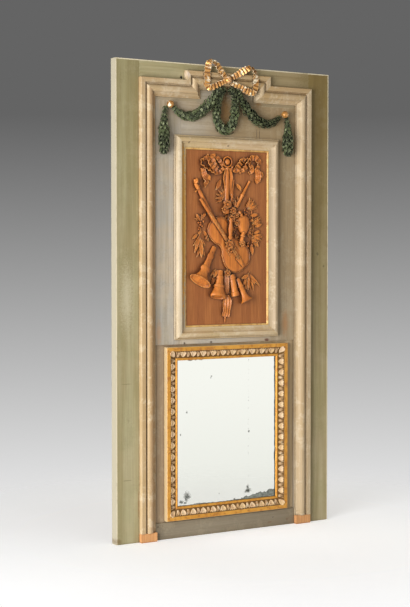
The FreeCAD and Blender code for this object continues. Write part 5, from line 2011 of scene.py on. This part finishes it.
    def violin(self) -> None:
        """The violin: its body, then its neck, scroll and pegs."""
        pieces = self.violin_body() + self.rods(
            ([(0, 13), (0.06, 11), (0.9, 8.5), (1, 8)], (-66, 1336), (-148, 1478), 7, 0.8),
            ([(0, 9), (0.3, 10), (1, 7)], (-147, 1476), (-163, 1498), 9, 0.9),
            ([(0, 5), (0.15, 12), (0.5, 14), (0.85, 12), (1, 5)], (-166, 1510), (-153, 1504), 9),
            ([(0, 2), (0.2, 7), (0.8, 7), (1, 2)], (-171, 1512), (-148, 1502), 11))
        for index, (x, z) in enumerate(((-152, 1470), (-158, 1482), (-147, 1488), (-166, 1494))):
            reach = 13 if index % 2 else -13
            pieces.append(self.laid([(0, 1.6), (0.6, 1.8), (0.65, 3.6), (1, 3.0)], (x, z),
                                    (x + reach, z + reach * 0.55), 12, 0.9, 0, 10))
        self.done(pieces, "trophy_violin")

    def torch(self) -> None:
        """The hanging ring and boss, the fluted torch stem below them, and its bound knots."""
        deselect()
        bpy.ops.mesh.primitive_torus_add(major_radius=21.5 * MM, minor_radius=3.4 * MM, major_segments=36,
                                         minor_segments=10, location=self.at(0, 1593.7, 5))
        ring = bpy.context.object
        pieces = [ring] + self.rods(
            ([(0, 3), (0.1, 8), (0.3, 13), (0.5, 14.5), (0.7, 13), (0.9, 8), (1, 3)],
             (-14.5, 1593.7), (14.5, 1593.7), 1, 0.8),
            ([(0, 3), (0.03, 9), (0.08, 7), (0.12, 10), (0.5, 13), (0.72, 12), (0.74, 16), (0.78, 16),
              (0.80, 12), (0.90, 14), (0.92, 18), (0.97, 18), (1, 12)],
             (0, 1574), (-5, 1372), 3, 0.8, 0, 10))
        for shift in (-1, 1):
            pieces.append(self.ribbon([(shift * 10, 1566, 6), (shift * 17, 1530, 9), (shift * 12, 1480, 7),
                                       (shift * 22, 1440, 8)], (0, shift * 25, 0, shift * 20), 13))
        pieces += self.rosettes((-6, 1412, 15, 21), (20, 1384, 18, 17), (38, 1366, 16, 14),
                                (-22, 1390, 15, 15), (14, 1350, 19, 18), (40, 1334, 17, 14))
        pieces.append(self.laid([(0, 5), (0.1, 9), (0.2, 6), (0.5, 11), (0.8, 7), (0.88, 11), (1, 6)],
                                (6, 1352), (2, 1262), 24, 0.8))
        pieces += self.rosette(-2, 1240, 24, 22)
        self.done(pieces, "trophy_torch")

    def musette(self) -> None:
        """The musette: a gathered bag with its stock and a short pipe."""
        outline = [(44, 1346), (56, 1362), (76, 1368), (96, 1366), (108, 1352), (111, 1328), (105, 1304),
                   (92, 1286), (76, 1282), (60, 1298), (48, 1322)]
        bag = self.plate(outline, 0, 8, [(2.5, 4.5), (4.5, 4.0), (6, 2.2)])
        seam = [(0, 1), (0.5, 1.8), (1, 1)]
        pieces = [bag] + self.rods(
            ([(0, 6), (0.4, 9), (0.5, 6), (0.7, 9), (1, 6)], (70, 1360), (52, 1384), 12),
            ([(0, 7), (0.3, 9), (0.32, 11), (0.4, 11), (0.42, 8), (1, 10)], (76, 1294), (62, 1244), 14))
        pieces += self.rosette(66, 1246, 20, 15)
        pieces += self.rods((seam, (58, 1346), (92, 1302), 16.5, 0.8, 0, 8),
                            (seam, (68, 1356), (102, 1316), 16.5, 0.8, 0, 8))
        self.done(pieces, "trophy_musette")

    def oboe(self) -> None:
        """The oboe, a long tube with rings and keys and a wide open bell."""
        foot = Vector((-67, 1228))
        tube = self.laid([(0, 11), (0.22, 12), (0.24, 15), (0.30, 15), (0.32, 13), (0.58, 16), (0.60, 22),
                          (0.64, 24), (0.67, 22), (0.69, 18), (0.80, 22), (0.90, 33), (0.97, 47), (1.0, 54),
                          (1.0, 47), (0.965, 45), (0.965, 8)], tuple(foot), (-150, 1080), 6, 0.36, 16, 36)
        pieces = [tube]
        for share in (0.14, 0.38, 0.48):
            x, z = foot - Vector((80, 140)) * share
            pieces.append(self.laid([(0, 1), (0.3, 3), (0.7, 3), (1, 1)], (x - 3, z), (x + 3, z),
                                    13 + 16 * share, 0.6, 0, 10))
        self.done(pieces, "trophy_oboe")

    def winds(self) -> None:
        """The horn, the pipe and the trumpet, and the violin's bow and the flute."""
        self.done(self.rods(
            ([(0, 12), (0.2, 14), (0.22, 17), (0.28, 17), (0.30, 15), (0.55, 20), (0.56, 25), (0.62, 25),
              (0.64, 22), (0.85, 31), (0.92, 37), (0.97, 37), (1.0, 35), (1.0, 29), (0.96, 27), (0.96, 6)],
             (-36, 1128), (-58, 1013), 7, 0.55, 13, 32)), "trophy_horn")
        self.done(self.rods(
            ([(0, 13), (0.1, 14), (0.12, 16), (0.2, 16), (0.22, 14), (0.8, 16), (0.82, 19), (1, 19)],
             (20, 1112), (40, 1021), 6, 0.8),
            ([(0, 9), (0.3, 11), (0.32, 13), (0.38, 13), (0.40, 11), (0.72, 13), (0.9, 20), (1.0, 31),
              (1.0, 26), (0.96, 24), (0.96, 5)], (50, 1094), (90, 995), 7, 0.6, 13, 28)), "trophy_pipes")
        self.done(self.rods(
            ([(0, 5), (0.03, 7), (0.06, 5), (0.5, 7), (0.52, 9), (0.56, 9), (0.58, 7), (1, 8)],
             (113, 1515), (44, 1400), 4, 0.9),
            ([(0, 4), (0.03, 6), (0.06, 4.5), (0.5, 5.5), (0.52, 7.5), (0.56, 7.5), (0.58, 6), (1, 6)],
             (31, 1520), (16, 1400), 4, 0.9)), "trophy_bow_and_flute")

    def sash(self) -> None:
        """The trailing sash with its fringe and its bound knot."""
        pieces = [self.ribbon([(-8, 1128, 8), (-8, 1080, 8), (-10, 1030, 7), (-12, 1004, 6)],
                              (0, 10, -10, 0), 26, 2.6),
                  self.ribbon([(-6, 1024, 9), (-4, 988, 8), (-8, 956, 7), (-10, 932, 5)], (0, 18, -12, 10),
                              38, 3.0, (0.5, 0.9)),
                  self.laid([(0, 5), (0.5, 3.5), (1, 1.5)], (-10, 946), (-12, 905), 3, 0.8)]
        self.done(pieces + self.rosette(-4, 1118, 12, 16), "trophy_sash")

    def bow(self) -> None:
        """The ribbon loops and tails on each side of the ring, each a row of what ribbon takes."""
        whole, crisp = (0.6, 0.6), (19.0, 2.6)
        rows = (
            ([(-18, 1568, 4), (-46, 1548, 7), (-84, 1556, 8), (-122, 1574, 7), (-136, 1588, 6),
              (-112, 1606, 8), (-96, 1618, 7)], (0, 20, 40, 60, 70, 20, 0), 21, 1.2, whole, *crisp),
            ([(-104, 1618, 6), (-92, 1590, 9), (-72, 1566, 8), (-52, 1556, 6)],
             (0, -30, 10, 20), 20, 1.2, whole, *crisp),
            ([(-24, 1574, 5), (-40, 1594, 9), (-60, 1612, 9), (-78, 1618, 7), (-70, 1590, 9),
              (-50, 1566, 6)], (0, -20, 20, 50, 20, 0), 18, 1.2, whole, *crisp),
            ([(-126, 1564, 6), (-118, 1538, 8), (-108, 1512, 7), (-114, 1482, 4)], (0, 35, -30, 10), 24, 1.6,
             (0.8, 0.15), 26.0, 2.4),
            ([(-120, 1540, 5), (-98, 1530, 6), (-84, 1512, 4)], (0, 30, 0), 15, 0, (0.8, 0.2)),
            ([(18, 1570, 5), (40, 1560, 8), (56, 1580, 9), (76, 1604, 8), (90, 1596, 6)],
             (0, -20, 20, 40, 0), 26, 1.6, whole, 15.0, 3.0),
            ([(58, 1552, 5), (84, 1566, 8), (104, 1598, 9), (128, 1616, 8), (152, 1608, 8), (160, 1588, 7),
              (142, 1560, 6)], (0, 20, 40, 20, 0, -30, 0), 24, 1.6, whole, *crisp),
            ([(96, 1612, 6), (112, 1586, 9), (122, 1560, 7), (108, 1548, 5)],
             (0, -30, 20, 0), 20, 1.2, whole, *crisp),
            ([(146, 1566, 6), (154, 1540, 8), (148, 1504, 4)], (0, 30, 0), 28, 1.8, (0.7, 0.2), 24.0, 2.4),
            ([(152, 1556, 6), (170, 1546, 7), (178, 1530, 4)], (0, 20, 0), 18, 0, (0.9, 0.3)))
        self.done([self.ribbon(*row) for row in rows], "trophy_ribbon")

    def sprays(self) -> None:
        """The laurel sprays and berries round the instruments."""
        self.done(self.leaves() + self.fanned() + self.twigs() + self.berries(), "trophy_laurel_sprays")

    def leaves(self) -> list[Piece]:
        """Carve the broad leaves, each from its stalk to its tip.

        Returns:
            The leaves.
        """
        leaf = self.leaf_pattern(self.leaf_size, 15)
        ends = [(-150, 1286, -175, 1262), (-142, 1276, -163, 1206), (-136, 1262, -130, 1184),
                (-118, 1300, -102, 1268), (-130, 1352, -108, 1376), (-146, 1346, -158, 1372),
                (110, 1388, 142, 1408), (118, 1366, 158, 1372), (140, 1318, 176, 1331),
                (132, 1275, 184, 1276), (126, 1257, 160, 1232), (118, 1240, 126, 1196),
                (114, 1122, 88, 1030), (118, 1112, 141, 1066), (108, 1110, 70, 1094),
                (-58, 1112, -82, 1066), (-33, 1518, -58, 1472), (44, 1502, 68, 1472),
                (-128, 1302, -150, 1282), (-140, 1240, -156, 1226), (-139, 1236, -120, 1214),
                (112, 1340, 138, 1352), (136, 1290, 168, 1302), (120, 1262, 148, 1250),
                (100, 1080, 120, 1046), (92, 1060, 74, 1048), (96, 1400, 106, 1428), (-104, 1368, -92, 1392),
                (-62, 1238, -84, 1216), (-52, 1132, -70, 1100), (-24, 1440, -44, 1418), (30, 1436, 46, 1412)]
        pieces = [self.leaf_to(leaf, (x0, z0), (x1, z1), 1.5 + 2.5 * (index % 3), self.leaf_size)
                  for index, (x0, z0, x1, z1) in enumerate(ends)]
        drop_piece(leaf)
        return pieces

    def fanned(self) -> list[Piece]:
        """Carve the narrow leaves that stand in fans.

        Returns:
            The leaves.
        """
        blade = self.leaf_pattern(self.leaf_size, 9)
        pieces = []
        for x, z, first, last, count, reach in self.fans:
            for index in range(count):
                turn = math.radians(first + (last - first) * index / (count - 1))
                tip = (x + reach * math.cos(turn), z + reach * math.sin(turn))
                pieces.append(self.leaf_to(blade, (x, z), tip, 2.5 + 2.5 * (index % 2), self.leaf_size))
        drop_piece(blade)
        return pieces

    def twigs(self) -> list[Piece]:
        """Carve the twigs of the sprays.

        Returns:
            The twigs.
        """
        pieces = []
        for line in (((-132, 1312), (-142, 1270), (-160, 1212)), ((120, 1400), (132, 1330), (124, 1240)),
                     ((112, 1126), (104, 1076), (90, 1034))):
            stem = Path([self.at(x, z, 3) for x, z in line])
            twig = lathe([(0, 0), (0, 2.2 * MM), (stem.length, 1.4 * MM), (stem.length, 0)], 8)
            open_mesh(twig)
            bpy.ops.mesh.subdivide(number_cuts=6)
            close_mesh()
            pieces.append(stem.bend(twig))
            stem.done()
        return pieces

    def berries(self) -> list[Piece]:
        """Carve the berries, scattered in three clusters.

        Returns:
            The berries.
        """
        chance = random.Random(self.seed)
        pieces = []
        for centre_x, centre_z, count in ((-134, 1322, 13), (114, 1240, 8), (98, 1372, 6)):
            for _ in range(count):
                x = centre_x + chance.uniform(-13, 13)
                z = centre_z + chance.uniform(-17, 17)
                radius = chance.uniform(3.6, 5.4)
                profile = [(share, radius * part)
                           for share, part in ((0, 0.3), (0.2, 0.8), (0.5, 1.0), (0.8, 0.8), (1, 0.3))]
                pieces.append(self.laid(profile, (x - radius, z), (x + radius, z), chance.uniform(3, 8),
                                        1.0, 0, 10))
        return pieces

    def build(self) -> None:
        """Carve every piece of the trophy."""
        for carve in (self.violin, self.torch, self.musette, self.oboe, self.winds, self.sash, self.bow,
                      self.sprays):
            carve()

@dataclass
class Studio:
    """The camera, the lamp, the pale floor and the graded backdrop."""

    eye: Vector = Vector((-3.1123, -4.9858, 1.2035))
    heading: float = math.radians(31.16)
    pitch: float = math.radians(-2.11)
    lens: float = 80.94
    lamp_place: Vector = Vector((-4.2, -2.4, 1.0))
    lamp_aim: Vector = Vector((0, 0, 0.95))
    lamp_size: float = 2.6
    lamp_watts: float = 315
    room_light: Colour = (0.33, 0.31, 0.27, 1)
    top_grey: float = 100 / 255
    low_white: float = 1.0
    sky_high: float = 0.10
    sky_low: float = -0.235
    floor_radius: float = 2.2
    floor_lift: float = 0.34

    def camera(self) -> None:
        """Place the camera at the photograph's viewpoint."""
        data = bpy.data.cameras.new("camera")
        data.lens = self.lens
        data.sensor_width = 36
        data.clip_end = 100
        camera = bpy.data.objects.new("camera", data)
        camera.location = self.eye
        camera.rotation_euler = (math.pi / 2 + self.pitch, 0, -self.heading)
        bpy.context.scene.collection.objects.link(camera)
        bpy.context.scene.camera = camera

    def lamp(self) -> None:
        """Hang a soft square lamp at the left front."""
        data = bpy.data.lights.new("key_lamp", "AREA")
        data.size = self.lamp_size
        data.energy = self.lamp_watts
        lamp = bpy.data.objects.new("key_lamp", data)
        lamp.location = self.lamp_place
        lamp.rotation_euler = (self.lamp_aim - self.lamp_place).to_track_quat("-Z", "Y").to_euler()
        bpy.context.scene.collection.objects.link(lamp)

    def world(self) -> None:
        """The backdrop, seen grey above and white below, pale in front; the room light is plain and soft."""
        world = bpy.data.worlds.new("studio")
        world.use_nodes = True
        bpy.context.scene.world = world
        sheet = Sheet(world.node_tree)
        axes = sheet.node("SeparateXYZ", {0: sheet.node("TexCoord").outputs["Generated"]})
        fall = sheet.node("MapRange", {"Value": axes.outputs["Z"], "From Min": self.sky_high,
                                       "From Max": self.sky_low, "To Min": self.top_grey,
                                       "To Max": self.low_white}).outputs["Result"]
        tone = sheet.calc("POWER", fall, 2.2)
        front = sheet.span(axes.outputs["Y"], -0.1, -0.35)
        pale = srgb(254, 254, 250)
        grey = sheet.node("CombineColor", {0: tone, 1: tone, 2: tone}).outputs[0]
        path = sheet.node("LightPath").outputs
        shown = sheet.most(path["Is Camera Ray"],
                           sheet.most(path["Is Glossy Ray"], path["Is Transmission Ray"]))
        light = sheet.mix(shown, self.room_light, sheet.mix(front, grey, pale))
        sheet.feed(world.node_tree.nodes["Background"].inputs["Color"], light)

    def floor(self) -> None:
        """A pale floor that keeps the shadow and fades out into the backdrop."""
        deselect()
        bpy.ops.mesh.primitive_circle_add(vertices=64, radius=self.floor_radius, fill_type="NGON",
                                          location=(0, 0, 0))
        floor = bpy.context.object
        floor.name = "studio_floor"
        sheet = MaterialSheet("pale_floor")
        here = sheet.place()
        reach = sheet.node("VectorMath", {0: here}, operation="LENGTH").outputs["Value"]
        sheet.surface(sheet.mix(sheet.noise(here, 3.0), srgb(240, 242, 246), srgb(232, 234, 238)), 0.9)
        path = sheet.node("LightPath").outputs
        seen = sheet.most(path["Is Camera Ray"], path["Is Glossy Ray"])
        side = sheet.node("SeparateXYZ", {0: here}).outputs["X"]
        # The floor glows a little more towards the right: painted light over the object's shadow there.
        lift = sheet.span(side, -0.5, 0.8, self.floor_lift, self.floor_lift + 0.12)
        sheet.feed(sheet.shader["Emission Color"], (1, 1, 1, 1))
        sheet.feed(sheet.shader["Emission Strength"], sheet.times(seen, lift))
        sheet.feed(sheet.shader["Alpha"], sheet.span(reach, 2.0, 0.5))
        floor.data.materials.append(sheet.material)

    def build(self) -> None:
        """Set up the scene round the trumeau."""
        bpy.context.scene.view_settings.view_transform = "Standard"
        self.camera()
        self.world()
        self.floor()
        self.lamp()

def main() -> None:
    """Dress the trumeau and set up its studio."""
    logging.basicConfig(level=logging.INFO, format="%(name)s: %(message)s")
    Effects().build()
    finishes = Finishes()
    for assembly in (PaintedWork, LeafAndDart, TopOrnament, Trophy):
        assembly(finishes).build()
    Studio().build()

if __name__ == "__main__":
    main()
